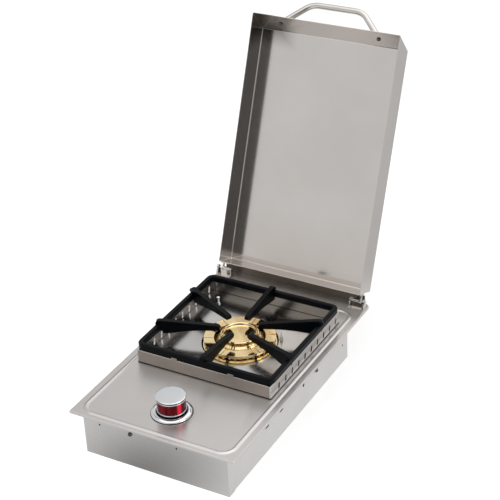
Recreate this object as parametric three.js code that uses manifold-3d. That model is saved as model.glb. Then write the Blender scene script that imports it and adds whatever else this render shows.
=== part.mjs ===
// A drop-in side burner: a flanged box with a lit control knob, a framed burner and a hinged lid.
// Millimetres, +Z up. The origin is the centre of the box's bottom face.
// Inside the group the sizes are worked out from the deck: z = 0 is its top face, y = 0 its front edge.
import * as THREE from "three";
import { mergeVertices } from "three/addons/utils/BufferGeometryUtils.js";
import Module from "manifold-3d";

const wasm = await Module();
wasm.setup();

// Sheet, clearances and how finely round things are stepped
const sheet = 1.2;
const seatGap = 0.3;
const runningGap = 0.5;
const overrun = 6;
const mergeTolerance = 1e-4;
const roundSteps = 40;
const smallSteps = 16;
const curveSteps = 4;

// Deck
const deckWidth = 330;
const deckDepth = 537;
const deckCornerRadius = 3;
const deckBackRadius = 12;
const deckLipHeight = 4;
const deckLipWall = 1.6;
const beadWidth = 9;
const beadHeight = 1.6;
const beadEdge = 1.3;
const beadSideInset = 12;
const beadFrontInset = 7.5;
const beadBackInset = 39;
const beadCornerRadius = 28;
const upstandHeight = 17;

// Box under the deck
const boxSideInset = 21.8;
const boxFrontInset = 12.8;
const boxBackInset = 59.5;
const boxHeight = 90;
const wrapLength = 18;
const topFlangeWidth = 12;
const trayEdgeHeight = 9;
const frontHoleDrop = 21;
const frontHoleRadius = 1.8;
const frontHoleOffsets = [-111, 45];
const frontScrewOffset = -48;
const sideSlotShares = [0.287, 0.3855];
const sideSlotDrop = 37.5;
const sideSlotLength = 12;
const sideSlotHeight = 5;
const sideHoleShare = 0.5456;
const sideHoleDrop = 39;
const sideHoleRadius = 3.5;
const rearHoleInset = 21.5;
const rearHoleDrop = 51;
const rearHoleRadius = 2;

// Fasteners
const screwHeadRadius = 4;
const screwHeadHeight = 2.4;
const screwRadius = 2.1;
const screwLength = 7;
const screwSocketRadius = 1.7;
const screwSocketDepth = 1.4;
const screwEdgeShare = 0.45;
const screwCrownShare = 0.75;
const screwRootShare = 0.3;
const hexSides = 6;

// Frame round the burner, its pan and its stud
const frameSideInset = 27.5;
const frameBehindKnob = 104.5;
const frameBackInset = 82;
const frameHeight = 26.4;
const frameFlangeWidth = 6;
const frameReturn = 3.4;
const frameTabWidth = 12;
const frameTabHeight = 4;
const frameTabOffset = 58;
const slotCount = 10;
const slotFrontInset = 32.5;
const slotBackInset = 15.7;
const slotWidth = 4.6;
const slotLength = 13;
const slotRise = 10;
const slotLean = THREE.MathUtils.degToRad(9);
const panHoleRadius = 72;
const studSideInset = 34.5;
const studBackInset = 38;
const studFootRadius = 5;
const studFootHeight = 1.6;
const studStemRadius = 2;
const studHeight = 16.5;
const studHeadRadius = 4.4;
const studHeadHeight = 3.6;
const studHeadLowShare = 0.3;
const studHeadHighShare = 0.7;

// Burner
const ringOuterRadius = 67.5;
const ringInnerRadius = 48;
const ringTop = 12;
const ringLipRadius = 69;
const ringLipHeight = 2.5;
const ringWaistRadius = 65.5;
const ringFlangeHeight = 3.6;
const ringBottom = -3;
const ringPortCount = 24;
const ringPortWidth = 2.4;
const ringPortHeight = 3.2;
const ringPortDepth = 2;
const ringPortRise = 5;
const ringNotchCount = 6;
const ringNotchWidth = 5;
const ringNotchDepth = 1.6;
const crownRadius = 44;
const crownBore = 26;
const crownTop = 13.6;
const crownToothCount = 24;
const crownToothWidth = 2.2;
const crownToothDepth = 3;
const crownToothHeight = 10;
const crownShoulder = 5;
const capRadius = 36.5;
const capTop = 20;
const capRimWidth = 3.4;
const capRimEdge = 1.2;
const capDishInset = 5;
const capDish = 2.3;
const capMiddleDrop = 2.8;
const deckBurnerHoleRadius = 71.5;
const bowlRadius = 66;
const bowlWall = 3;
const bowlDepth = 52;
const bowlFootRadius = 30;
const bowlShoulder = 17;
const bowlPedestalRadius = 41;
const bowlPedestalWall = 4;
const bowlNeckRadius = 24;
const gasDrop = 38;
const socketRadius = 16.5;
const socketLength = 22;
const venturiRadius = 13;
const venturiWall = 1.5;
const venturiSeat = 16;
const venturiMouthGap = 24.7;
const shutterWall = 1.5;
const shutterLength = 20;
const shutterInset = 4;
const bracketDepth = 36;
const bracketSheet = 1.5;
const bracketTabShare = 0.5512;

// Grate
const grateSideOverhang = 2.5;
const grateEndInset = 1.5;
const grateRingWidth = 8;
const grateRingHeight = 13;
const grateCornerRadius = 14;
const grateEdge = 1.6;
const fingerThickness = 9;
const fingerTipGap = 35.5;
const fingerSideTip = 36;
const fingerSideTipOffset = 21;
const fingerSideRootOffset = 64;
const fingerTop = 48;
const fingerTipTop = 43.5;
const fingerTipBottom = 33;
const fingerWebBottom = 20.5;
const fingerNubOverhang = 1;
const fingerNubLength = 13;
const fingerSagShare = 0.42;

// Knob and its bezel
const knobFromFront = 75.5;
const bezelRadius = 37;
const bezelBore = 28;
const bezelHeight = 5.4;
const bezelEdge = 1.8;
const knobRadius = 27;
const knobTop = 36;
const knobCapHeight = 5.8;
const knobCapEdge = 1.6;
const knobGrooveDepth = 0.5;
const knobGrooveWidth = 0.8;
const knobGrooveRise = 1.6;
const lightBandRadius = 25.5;
const lightBandWall = 3;
const lightBandHeight = 19.6;
const footRingRadius = 26.4;
const footRingHeight = 2.6;
const knobHubRadius = 10;
const knobHubDrop = 2.2;
const lightRingOuterRadius = 27.4;
const lightRingHeight = 2;
const knobTravel = 3;
const stemHoleRadius = 12;

// Valve and gas way
const stemRadius = 4;
const stemBore = 4.4;
const stemTopInset = 10;
const stemFlat = 3;
const stemFlatLength = 18;
const valveWidth = 26;
const valveFront = 13;
const valveBack = 22;
const valveTopDrop = 26;
const valveHeight = 32;
const valveBoreDepth = 24;
const stemEndGap = 3;
const collarRadius = 9;
const collarHeight = 3;
const springWireRadius = 0.8;
const springRadius = 6.4;
const springLength = 12;
const springTurns = 5;
const springSides = 5;
const springTurnSteps = 12;
const valveBracketWidth = 34;
const orificeRadius = 5;
const orificeBore = 1.5;
const orificeLength = 17;
const orificeBoreSides = 12;
const pipeRadius = 5;
const pipeBore = 3.2;
const pipeSideInset = 47;
const pipeDrop = 46;
const pipeBend = 16;
const pipeSides = 10;
const pipeBoreSides = 8;
const pipeSteps = 14;
const inletHexRadius = 11;
const inletHexLength = 12;
const inletSpigotRadius = 8;
const inletSpigotLength = 14;
const inletBore = 5.3;
const inletInside = 10;

// Ignition
const electrodeBowlGap = 10.54;
const electrodeTurn = THREE.MathUtils.degToRad(28.91);
const electrodeRadius = 3;
const electrodeTop = 9;
const electrodeBottom = -16;
const electrodeWireRadius = 1.1;
const electrodeWireHeight = 7;
const electrodeCollarRadius = 4.6;
const electrodeCollarHeight = 2;
const igniterPlateDrop = 10;
const igniterPlateWidth = 14;
const igniterFootDrop = 7.5;
const moduleWidth = 22;
const moduleLength = 50;
const moduleHeight = 34;
const modulePlaceShare = 0.676;
const moduleScrewInset = 18;
const leadRadius = 1.8;
const leadRise = 10;
const leadBend = 4;
const leadSides = 6;
const leadSteps = 28;

// Lid, in its closed place seen from the hinge axis
const lidSideInset = 10.5;
const lidFrontInset = 10.7;
const lidFrontSlant = 28;
const lidDepth = 51;
const lidOpenAngle = THREE.MathUtils.degToRad(111.3);
const lidRimClearance = 1.6;
const hingeHeight = 15;
const hingeSetback = 19;
const hingeBehindLid = 13.3;
const handleSpreadShare = 1 / 3;
const handleGripHalf = 53.5;
const handleHeight = 49;
const handleRadius = 6;
const handleBend = 16;
const handleWallShare = 0.52;
const handleBoreDepth = 4;
const handleOverrun = 12;
const handleSides = 12;
const handleSteps = 32;

// Hinges, measured outwards from the middle of the deck
const hingeOverhang = 7;
const hingeLength = 31.5;
const bracketFootFront = 11;
const bracketFootBack = 4;
const bracketThickness = 2;
const outerEarThickness = 3.5;
const innerEarThickness = 2.5;
const earRadius = 4.6;
const hingePinRadius = 2;
const hingeBore = 2.3;
const pinHeadRadius = 3.4;
const pinHeadHeight = 1.6;
const barrelRadius = 3.7;
const lugThickness = 3.5;
const lugClearance = 5;
const lugRadius = 4.6;
const leafThickness = 2;
const leafLow = 8.3;
const leafHigh = 11.7;

// Places worked out from the sizes above
const boxWidth = deckWidth - 2 * boxSideInset;
const boxBack = deckDepth - boxBackInset;
const boxInner = boxWidth / 2 - sheet;
const pipeOffset = boxInner - pipeSideInset;
const deckUnderside = -sheet;
const wallTop = deckUnderside - seatGap;
const sideSlotPlaces = sideSlotShares.map((share) => deckDepth * share);
const sideHolePlace = deckDepth * sideHoleShare;
const rearHolePlace = boxBack - rearHoleInset;
const frameWidth = deckWidth - 2 * frameSideInset;
const frameFront = knobFromFront + frameBehindKnob;
const frameBack = deckDepth - frameBackInset;
const frameDepth = frameBack - frameFront;
const slotPitch = (frameDepth - slotFrontInset - slotBackInset) / (slotCount - 1);
const studOffset = frameWidth / 2 - studSideInset;
const burnerY = frameFront + frameDepth / 2;
const electrodeReach = bowlRadius + electrodeBowlGap;
const electrodeOffset = electrodeReach * Math.cos(electrodeTurn);
const electrodeBack = electrodeReach * Math.sin(electrodeTurn);
const electrodeY = burnerY + electrodeBack;
const panTop = seatGap + sheet;
const grateWidth = frameWidth + 2 * grateSideOverhang;
const grateDepth = frameDepth - 2 * grateEndInset;
const grateBottom = frameHeight + seatGap;
const grateTop = grateBottom + grateRingHeight;
const knobCapBottom = knobTop - knobCapHeight;
const lightBandTop = knobCapBottom - seatGap;
const lightBandBottom = lightBandTop - lightBandHeight;
const footRingTop = lightBandBottom - seatGap;
const valveTop = -valveTopDrop;
const stemInValve = valveBoreDepth - knobTravel - stemEndGap;
const moduleFromFront = deckDepth * modulePlaceShare;
const moduleScrewPlace = moduleFromFront - moduleScrewInset;
const springBottom = valveTop + seatGap + springWireRadius;
const collarBottom = springBottom + springLength + springWireRadius + seatGap;
const bowlTop = ringBottom - seatGap;
const bowlBottom = bowlTop - bowlDepth;
const bracketTop = bowlBottom - seatGap;
const bracketTab = (boxHeight - trayEdgeHeight + bracketTop) * bracketTabShare;
const crownBottom = bowlTop + seatGap;
const socketMouth = -bowlFootRadius - socketLength;
const venturiEnd = socketMouth + venturiSeat;
const orificeEnd = knobFromFront + valveBack + seatGap + orificeLength;
const venturiStart = orificeEnd + venturiMouthGap - burnerY;
const hingeY = deckDepth - hingeSetback;
const lidWidth = deckWidth - 2 * lidSideInset;
const lidRimLength = deckDepth - hingeSetback - hingeBehindLid - lidFrontInset;
const lidTopLength = lidRimLength - lidFrontSlant;
const handleSpread = lidWidth * handleSpreadShare;
const handleScrewLength = sheet + handleBoreDepth - seatGap;
const lidRim = lidRimClearance - hingeHeight;
const lidTop = lidRim + lidDepth;
const lidBack = -hingeBehindLid;
const lidTopFront = lidBack - lidTopLength;
const lidRimFront = lidBack - lidRimLength;
const handleWallSlope = Math.atan2(lidDepth, lidFrontSlant);
const hingeOuter = lidWidth / 2 + hingeOverhang;
const hingeInner = hingeOuter - hingeLength;
const lugOuter = hingeOuter - outerEarThickness - lugClearance;
const pinEnd = hingeOuter + seatGap;

// Finishes: colour, roughness and metalness
const finishes = {
  steel: [0xbdb8b2, 0.34, 1],
  panel: [0xc4c1bd, 0.42, 1],
  polished: [0xd4d2d0, 0.12, 1],
  brass: [0xc9a04e, 0.22, 1],
  castIron: [0x16191b, 0.62, 0.2],
  castAluminium: [0x8d8f91, 0.6, 1],
  redLight: [0xa80f2c, 0.18, 0],
  blackPlastic: [0x151517, 0.5, 0],
  valveBrass: [0xb08d4a, 0.4, 1],
  ceramic: [0xece8df, 0.45, 0],
  rubber: [0x1d1d1f, 0.8, 0],
  spring: [0x9b9da0, 0.35, 1],
};

// One named mesh with a material of its own
function piece(name, geometry, finishName) {
  const [color, roughness, metalness] = finishes[finishName];
  const material = new THREE.MeshStandardMaterial({ color, roughness, metalness });
  const mesh = new THREE.Mesh(geometry, material);
  mesh.name = name;
  return mesh;
}

// A group at a place, holding the meshes given
function assembly(place, ...children) {
  const group = new THREE.Group();
  group.position.set(...place);
  group.add(...children);
  return group;
}

// Closed geometry as a solid for joining and cutting, and back
function toSolid(geometry) {
  const bare = geometry.index ? geometry.toNonIndexed() : geometry.clone();
  bare.deleteAttribute("normal");
  bare.deleteAttribute("uv");
  const merged = mergeVertices(bare, mergeTolerance);
  const vertProperties = merged.getAttribute("position").array;
  const triVerts = new Uint32Array(merged.index.array);
  return new wasm.Manifold(new wasm.Mesh({ numProp: 3, vertProperties, triVerts }));
}

function toGeometry(solid) {
  const { vertProperties, triVerts } = solid.getMesh();
  const geometry = new THREE.BufferGeometry();
  geometry.setAttribute("position", new THREE.BufferAttribute(new Float32Array(vertProperties), 3));
  geometry.setIndex(new THREE.BufferAttribute(new Uint32Array(triVerts), 1));
  geometry.computeVertexNormals();
  return geometry;
}

function join(...geometries) {
  return toGeometry(geometries.map(toSolid).reduce((whole, part) => whole.add(part)));
}

function cut(body, ...tools) {
  return toGeometry(tools.map(toSolid).reduce((rest, tool) => rest.subtract(tool), toSolid(body)));
}

// A block between two corners
function block([x0, y0, z0], [x1, y1, z1]) {
  const geometry = new THREE.BoxGeometry(x1 - x0, y1 - y0, z1 - z0);
  return geometry.translate((x0 + x1) / 2, (y0 + y1) / 2, (z0 + z1) / 2);
}

// Round bars along each axis, from one end to the other
function barZ(radius, x, y, z0, z1, steps = smallSteps) {
  const geometry = new THREE.CylinderGeometry(radius, radius, z1 - z0, steps);
  return geometry.rotateX(Math.PI / 2).translate(x, y, (z0 + z1) / 2);
}

function barY(radius, x, z, y0, y1, steps = smallSteps) {
  const geometry = new THREE.CylinderGeometry(radius, radius, y1 - y0, steps);
  return geometry.translate(x, (y0 + y1) / 2, z);
}

function barX(radius, y, z, x0, x1, steps = smallSteps) {
  const geometry = new THREE.CylinderGeometry(radius, radius, x1 - x0, steps);
  return geometry.rotateZ(Math.PI / 2).translate((x0 + x1) / 2, y, z);
}

// A body turned about Z, from pairs of radius and height that go round anticlockwise
function turned(profile, steps = roundSteps) {
  const points = profile.map(([radius, height]) => new THREE.Vector2(radius, height));
  if (profile[0][0] > 0) points.push(points[0].clone());
  return new THREE.LatheGeometry(points, steps).rotateX(Math.PI / 2);
}

// A plain ring about Z
function ring(outer, inner, z0, z1, steps = roundSteps) {
  return turned([[inner, z0], [outer, z0], [outer, z1], [inner, z1]], steps);
}

// Outlines
function outline(points) {
  return new THREE.Shape(points.map(([x, y]) => new THREE.Vector2(x, y)));
}

function roundedRectangle(width, depth, radius, backRadius = radius) {
  const [x, y] = [width / 2 - radius, depth / 2 - radius];
  const [backX, backY] = [width / 2 - backRadius, depth / 2 - backRadius];
  const shape = new THREE.Shape();
  shape.absarc(backX, backY, backRadius, 0, Math.PI / 2);
  shape.absarc(-backX, backY, backRadius, Math.PI / 2, Math.PI);
  shape.absarc(-x, -y, radius, Math.PI, Math.PI * 1.5);
  shape.absarc(x, -y, radius, Math.PI * 1.5, Math.PI * 2);
  shape.closePath();
  return shape;
}

// A slot with round ends, leaning from upright
function leaningSlot(x, y, width, length, lean) {
  const reach = (length - width) / 2;
  const slot = new THREE.Path();
  const [dx, dy] = [Math.sin(lean) * reach, Math.cos(lean) * reach];
  slot.absarc(x + dx, y + dy, width / 2, -lean, Math.PI - lean);
  slot.absarc(x - dx, y - dy, width / 2, Math.PI - lean, Math.PI * 2 - lean);
  slot.closePath();
  return slot;
}

// An outline pushed up by a thickness, with its edges rounded inside its size
function pressed(shape, z0, thickness, edge) {
  const options = { depth: thickness, bevelEnabled: false, curveSegments: curveSteps };
  if (edge > 0) {
    options.depth = thickness - 2 * edge;
    options.bevelEnabled = true;
    options.bevelThickness = edge;
    options.bevelSize = edge;
    options.bevelOffset = -edge;
    options.bevelSegments = 1;
  }
  return new THREE.ExtrudeGeometry(shape, options).translate(0, 0, z0 + edge);
}

// An outline in the Y and Z plane pushed along X, and one in the X and Z plane pushed along Y
function alongX(shape, x0, x1, edge = 0) {
  const turn = new THREE.Matrix4().makeBasis(
    new THREE.Vector3(0, 1, 0),
    new THREE.Vector3(0, 0, 1),
    new THREE.Vector3(1, 0, 0),
  );
  return pressed(shape, x0, x1 - x0, edge).applyMatrix4(turn);
}

function alongY(shape, y0, y1) {
  const turn = new THREE.Matrix4().makeBasis(
    new THREE.Vector3(1, 0, 0),
    new THREE.Vector3(0, 0, 1),
    new THREE.Vector3(0, -1, 0),
  );
  return pressed(shape, -y1, y1 - y0, 0).applyMatrix4(turn);
}

// A path of straight runs with rounded corners
function bentPath(points, bend) {
  const corners = points.map((point) => new THREE.Vector3(...point));
  const path = new THREE.CurvePath();
  let start = corners[0];
  for (let i = 1; i < corners.length - 1; i += 1) {
    const before = corners[i].clone().sub(corners[i - 1]).setLength(bend);
    const after = corners[i + 1].clone().sub(corners[i]).setLength(bend);
    const enter = corners[i].clone().sub(before);
    const leave = corners[i].clone().add(after);
    path.add(new THREE.LineCurve3(start, enter));
    path.add(new THREE.QuadraticBezierCurve3(enter, corners[i], leave));
    start = leave;
  }
  path.add(new THREE.LineCurve3(start, corners[corners.length - 1]));
  return path;
}

// A round bar or tube along a path
function alongPath(path, radius, sides, steps) {
  const points = [];
  for (let i = 0; i < sides; i += 1) {
    const angle = (Math.PI * 2 * i) / sides;
    points.push([Math.cos(angle) * radius, Math.sin(angle) * radius]);
  }
  return new THREE.ExtrudeGeometry(outline(points), { steps, extrudePath: path, bevelEnabled: false });
}

// Copies of a tool spread round the Z axis
function spread(tool, count, phase = 0) {
  const copies = [];
  for (let i = 0; i < count; i += 1) {
    copies.push(tool.clone().rotateZ(phase + (Math.PI * 2 * i) / count));
  }
  return copies;
}

// A pan head screw along Z: its head sits on z = 0 and its shank goes down
function screw(length) {
  const head = turned([
    [0, seatGap],
    [screwHeadRadius, seatGap],
    [screwHeadRadius, seatGap + screwHeadHeight * screwEdgeShare],
    [screwHeadRadius * screwCrownShare, seatGap + screwHeadHeight],
    [0, seatGap + screwHeadHeight],
  ], smallSteps);
  const shank = barZ(screwRadius, 0, 0, -length, seatGap + screwSocketDepth * screwRootShare);
  const top = seatGap + screwHeadHeight;
  const socket = barZ(screwSocketRadius, 0, 0, top - screwSocketDepth, top + overrun, hexSides);
  return cut(join(head, shank), socket);
}

// Deck with its lip, back upstand, pressed bead, burner hole and knob hole
function deckGeometry() {
  const plateShape = roundedRectangle(deckWidth, deckDepth, deckCornerRadius, deckBackRadius);
  const plate = pressed(plateShape, deckUnderside, sheet, 0);
  const lipShape = roundedRectangle(deckWidth, deckDepth, deckCornerRadius, deckBackRadius);
  const lipInside = [deckWidth - 2 * deckLipWall, deckDepth - 2 * deckLipWall];
  const lipCorners = [deckCornerRadius - deckLipWall, deckBackRadius - deckLipWall];
  lipShape.holes.push(roundedRectangle(...lipInside, ...lipCorners));
  const lip = pressed(lipShape, -deckLipHeight, deckLipHeight, 0);
  const beadSpan = deckWidth - 2 * beadSideInset;
  const beadRun = deckDepth - beadFrontInset - beadBackInset;
  const beadShape = roundedRectangle(beadSpan, beadRun, beadCornerRadius);
  const beadInside = [beadSpan - 2 * beadWidth, beadRun - 2 * beadWidth];
  beadShape.holes.push(roundedRectangle(...beadInside, beadCornerRadius - beadWidth));
  const bead = pressed(beadShape, deckUnderside, sheet + beadHeight, beadEdge);
  bead.translate(0, (beadFrontInset - beadBackInset) / 2, 0);
  const upstandHalf = deckWidth / 2 - deckBackRadius;
  const upstandFront = deckDepth / 2 - sheet;
  const upstandTop = [upstandHalf, deckDepth / 2, upstandHeight];
  const upstand = block([-upstandHalf, upstandFront, deckUnderside], upstandTop);
  const blank = join(plate, lip, bead, upstand).translate(0, deckDepth / 2, 0);
  const low = deckUnderside - overrun;
  return cut(
    blank,
    barZ(deckBurnerHoleRadius, 0, burnerY, low, overrun, roundSteps),
    barZ(electrodeCollarRadius + runningGap, electrodeOffset, electrodeY, low, overrun),
    barZ(stemHoleRadius, 0, knobFromFront, low, overrun),
  );
}

// Front wall of the box, wrapped round both sides
function frontPanelGeometry() {
  const outer = boxWidth / 2 + seatGap + sheet;
  const inner = outer - sheet;
  const back = boxFrontInset + sheet + wrapLength;
  const shape = outline([
    [-outer, boxFrontInset],
    [outer, boxFrontInset],
    [outer, back],
    [inner, back],
    [inner, boxFrontInset + sheet],
    [-inner, boxFrontInset + sheet],
    [-inner, back],
    [-outer, back],
  ]);
  const wall = pressed(shape, -boxHeight, boxHeight + wallTop, 0);
  const [near, far] = [boxFrontInset - overrun, boxFrontInset + sheet + overrun];
  const holes = frontHoleOffsets.map((x) => barY(frontHoleRadius, x, -frontHoleDrop, near, far));
  const screwHole = barY(screwRadius + seatGap, frontScrewOffset, -frontHoleDrop, near, far);
  return cut(wall, ...holes, screwHole);
}

// Side wall of the box, with a flange turned in under the deck. Made for the right; the left is mirrored.
function sidePanelGeometry(withScrewHole) {
  const [outer, inner] = [boxWidth / 2, boxInner];
  const front = boxFrontInset + sheet + seatGap;
  const flangeBack = boxBack - sheet - topFlangeWidth - seatGap;
  const wall = block([inner, front, -boxHeight], [outer, boxBack, wallTop]);
  const flange = block([inner - topFlangeWidth, front, wallTop - sheet], [outer, flangeBack, wallTop]);
  const [near, far] = [inner - overrun, outer + overrun];
  const slots = sideSlotPlaces.map((y) => {
    const [reach, rise] = [sideSlotLength / 2, sideSlotHeight / 2];
    return block([near, y - reach, -sideSlotDrop - rise], [far, y + reach, -sideSlotDrop + rise]);
  });
  const holes = [
    barX(sideHoleRadius, sideHolePlace, -sideHoleDrop, near, far),
    barX(rearHoleRadius, rearHolePlace, -rearHoleDrop, near, far),
  ];
  if (withScrewHole) {
    holes.push(barX(screwRadius + seatGap, moduleScrewPlace, -sideHoleDrop, near, far));
  }
  return cut(join(wall, flange), ...slots, ...holes);
}

// Back wall of the box, between the side walls, with the hole for the gas inlet
function backPanelGeometry() {
  const half = boxInner - seatGap;
  const inside = boxBack - sheet;
  const wall = block([-half, inside, -boxHeight], [half, boxBack, wallTop]);
  const flange = block([-half, inside - topFlangeWidth, wallTop - sheet], [half, boxBack, wallTop]);
  const [near, far] = [inside - overrun, boxBack + overrun];
  const hole = barY(inletSpigotRadius + seatGap, -pipeOffset, -pipeDrop, near, far);
  return cut(join(wall, flange), hole);
}

// Shallow tray that closes the box
function bottomPanelGeometry() {
  const half = boxInner - seatGap;
  const [front, back] = [boxFrontInset + sheet + seatGap, boxBack - sheet - seatGap];
  const top = -boxHeight + trayEdgeHeight;
  const tray = block([-half, front, -boxHeight], [half, back, top]);
  const inside = block(
    [-half + sheet, front + sheet, -boxHeight + sheet],
    [half - sheet, back - sheet, top + overrun],
  );
  return cut(tray, inside);
}

// Side wall of the burner frame with its row of leaning slots. Made for the right; the left is mirrored.
function frameSideGeometry() {
  const outer = frameWidth / 2;
  const wallShape = outline([
    [frameFront, seatGap],
    [frameBack, seatGap],
    [frameBack, frameHeight],
    [frameFront, frameHeight],
  ]);
  for (let i = 0; i < slotCount; i += 1) {
    const y = frameFront + slotFrontInset + i * slotPitch;
    wallShape.holes.push(leaningSlot(y, slotRise, slotWidth, slotLength, slotLean));
  }
  const wall = alongX(wallShape, outer - sheet, outer);
  const endGap = sheet + seatGap;
  const flange = block(
    [outer - frameFlangeWidth, frameFront + endGap, frameHeight - sheet],
    [outer, frameBack - endGap, frameHeight],
  );
  const corner = (y) => block([outer - frameReturn, y, seatGap], [outer, y + sheet, frameHeight]);
  return join(wall, flange, corner(frameFront), corner(frameBack - sheet));
}

// Front or back wall of the burner frame, between the returns of the side walls
function frameEndGeometry(outerFace, inwards, withTabs) {
  const half = frameWidth / 2 - frameReturn - seatGap;
  const flangeHalf = frameWidth / 2 - frameFlangeWidth - seatGap;
  const span = (reach) => [outerFace, outerFace + inwards * reach].sort((a, b) => a - b);
  const [wallNear, wallFar] = span(sheet);
  const [flangeNear, flangeFar] = span(frameFlangeWidth);
  const parts = [
    block([-half, wallNear, seatGap], [half, wallFar, frameHeight]),
    block([-flangeHalf, flangeNear, frameHeight - sheet], [flangeHalf, flangeFar, frameHeight]),
  ];
  if (withTabs) {
    for (const x of [-frameTabOffset, frameTabOffset]) {
      const low = [x - frameTabWidth / 2, wallNear, frameHeight - sheet];
      parts.push(block(low, [x + frameTabWidth / 2, wallFar, frameHeight + frameTabHeight]));
    }
  }
  return join(...parts);
}

// Pan inside the frame
function dripPanGeometry() {
  const half = frameWidth / 2 - sheet - seatGap;
  const [front, back] = [frameFront + sheet + seatGap, frameBack - sheet - seatGap];
  const plate = block([-half, front, seatGap], [half, back, panTop]);
  return cut(
    plate,
    barZ(panHoleRadius, 0, burnerY, -overrun, overrun, roundSteps),
    barZ(electrodeRadius + runningGap, electrodeOffset, electrodeY, -overrun, overrun),
  );
}

// Polished stud on the pan
function panStudGeometry() {
  const foot = panTop + seatGap;
  const headBottom = studHeight - studHeadHeight;
  return turned([
    [0, foot],
    [studFootRadius, foot],
    [studFootRadius, foot + studFootHeight],
    [studStemRadius, foot + studFootHeight],
    [studStemRadius, headBottom],
    [studHeadRadius, headBottom + studHeadHeight * studHeadLowShare],
    [studHeadRadius, headBottom + studHeadHeight * studHeadHighShare],
    [studStemRadius, studHeight],
    [0, studHeight],
  ], smallSteps);
}

// Brass ring of the burner with ports round its waist and notches in its top
function burnerRingGeometry() {
  const lipTop = ringBottom + ringLipHeight;
  const flangeBottom = ringTop - ringFlangeHeight;
  const body = turned([
    [ringInnerRadius, ringBottom],
    [ringLipRadius, ringBottom],
    [ringLipRadius, lipTop],
    [ringWaistRadius, lipTop],
    [ringWaistRadius, flangeBottom],
    [ringOuterRadius, flangeBottom],
    [ringOuterRadius, ringTop],
    [ringInnerRadius, ringTop],
  ]);
  const port = block(
    [ringWaistRadius - ringPortDepth, -ringPortWidth / 2, ringPortRise - ringPortHeight / 2],
    [ringWaistRadius + overrun, ringPortWidth / 2, ringPortRise + ringPortHeight / 2],
  );
  const notch = block(
    [ringInnerRadius - overrun, -ringNotchWidth / 2, ringTop - ringNotchDepth],
    [ringOuterRadius + overrun, ringNotchWidth / 2, ringTop + overrun],
  );
  const ports = spread(port, ringPortCount);
  return cut(body, ...ports, ...spread(notch, ringNotchCount, Math.PI / ringNotchCount));
}

// Brass crown inside the ring, toothed round its shoulder
function burnerCrownGeometry() {
  const shoulder = crownTop - crownShoulder;
  const body = turned([
    [crownBore, crownBottom],
    [crownRadius, crownBottom],
    [crownRadius, shoulder],
    [capRadius, crownTop],
    [crownBore, crownTop],
  ]);
  const tooth = block(
    [crownRadius - crownToothDepth, -crownToothWidth / 2, crownTop - crownToothHeight],
    [crownRadius + overrun, crownToothWidth / 2, crownTop + overrun],
  );
  return cut(body, ...spread(tooth, crownToothCount));
}

// Polished brass cap with a raised rim
function burnerCapGeometry() {
  const bottom = crownTop + seatGap;
  return turned([
    [0, bottom],
    [capRadius, bottom],
    [capRadius, capTop - capRimEdge],
    [capRadius - capRimEdge, capTop],
    [capRadius - capRimWidth, capTop],
    [capRadius - capDishInset, capTop - capDish],
    [0, capTop - capMiddleDrop],
  ]);
}

// Cast bowl under the ring, with the pedestal for the crown and the socket for the mixing tube
function burnerBaseGeometry() {
  const shoulder = bowlTop - bowlShoulder;
  const bowl = turned([
    [0, bowlBottom],
    [bowlFootRadius, bowlBottom],
    [bowlFootRadius + bowlWall, shoulder - bowlWall],
    [bowlRadius, shoulder],
    [bowlRadius, bowlTop],
    [bowlRadius - bowlWall, bowlTop],
    [bowlRadius - bowlWall, shoulder + bowlWall],
    [bowlPedestalRadius, shoulder + bowlWall],
    [bowlPedestalRadius, bowlTop],
    [bowlPedestalRadius - bowlPedestalWall, bowlTop],
    [bowlPedestalRadius - bowlPedestalWall, shoulder],
    [bowlNeckRadius, shoulder],
    [bowlNeckRadius, bowlBottom + bowlWall],
    [0, bowlBottom + bowlWall],
  ]);
  const socket = barY(socketRadius, 0, -gasDrop, socketMouth, -bowlNeckRadius - seatGap);
  const bore = barY(venturiRadius + seatGap, 0, -gasDrop, socketMouth - overrun, venturiEnd + seatGap);
  const way = barY(venturiRadius - venturiWall, 0, -gasDrop, socketMouth - overrun, 0);
  return cut(join(bowl, socket), bore, way);
}

// Mixing tube between the valve's orifice and the bowl
function venturiGeometry() {
  const tube = barY(venturiRadius, 0, -gasDrop, venturiStart, venturiEnd);
  const inner = venturiRadius - venturiWall;
  return cut(tube, barY(inner, 0, -gasDrop, venturiStart - overrun, venturiEnd + overrun));
}

// Collar that opens and closes the air way of the mixing tube
function airShutterGeometry() {
  const start = venturiStart + shutterInset;
  const inner = venturiRadius + seatGap;
  const collar = barY(inner + shutterWall, 0, -gasDrop, start, start + shutterLength);
  return cut(collar, barY(inner, 0, -gasDrop, start - overrun, start + shutterLength + overrun));
}

// Cross bracket that carries the bowl between the side walls
function burnerBracketGeometry() {
  const half = boxInner - seatGap;
  const tabBottom = bracketTop - bracketTab;
  const underside = bracketTop - bracketSheet;
  const shape = outline([
    [-half, tabBottom],
    [-half + bracketSheet, tabBottom],
    [-half + bracketSheet, underside],
    [half - bracketSheet, underside],
    [half - bracketSheet, tabBottom],
    [half, tabBottom],
    [half, bracketTop],
    [-half, bracketTop],
  ]);
  return alongY(shape, burnerY - bracketDepth / 2, burnerY + bracketDepth / 2);
}

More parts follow.
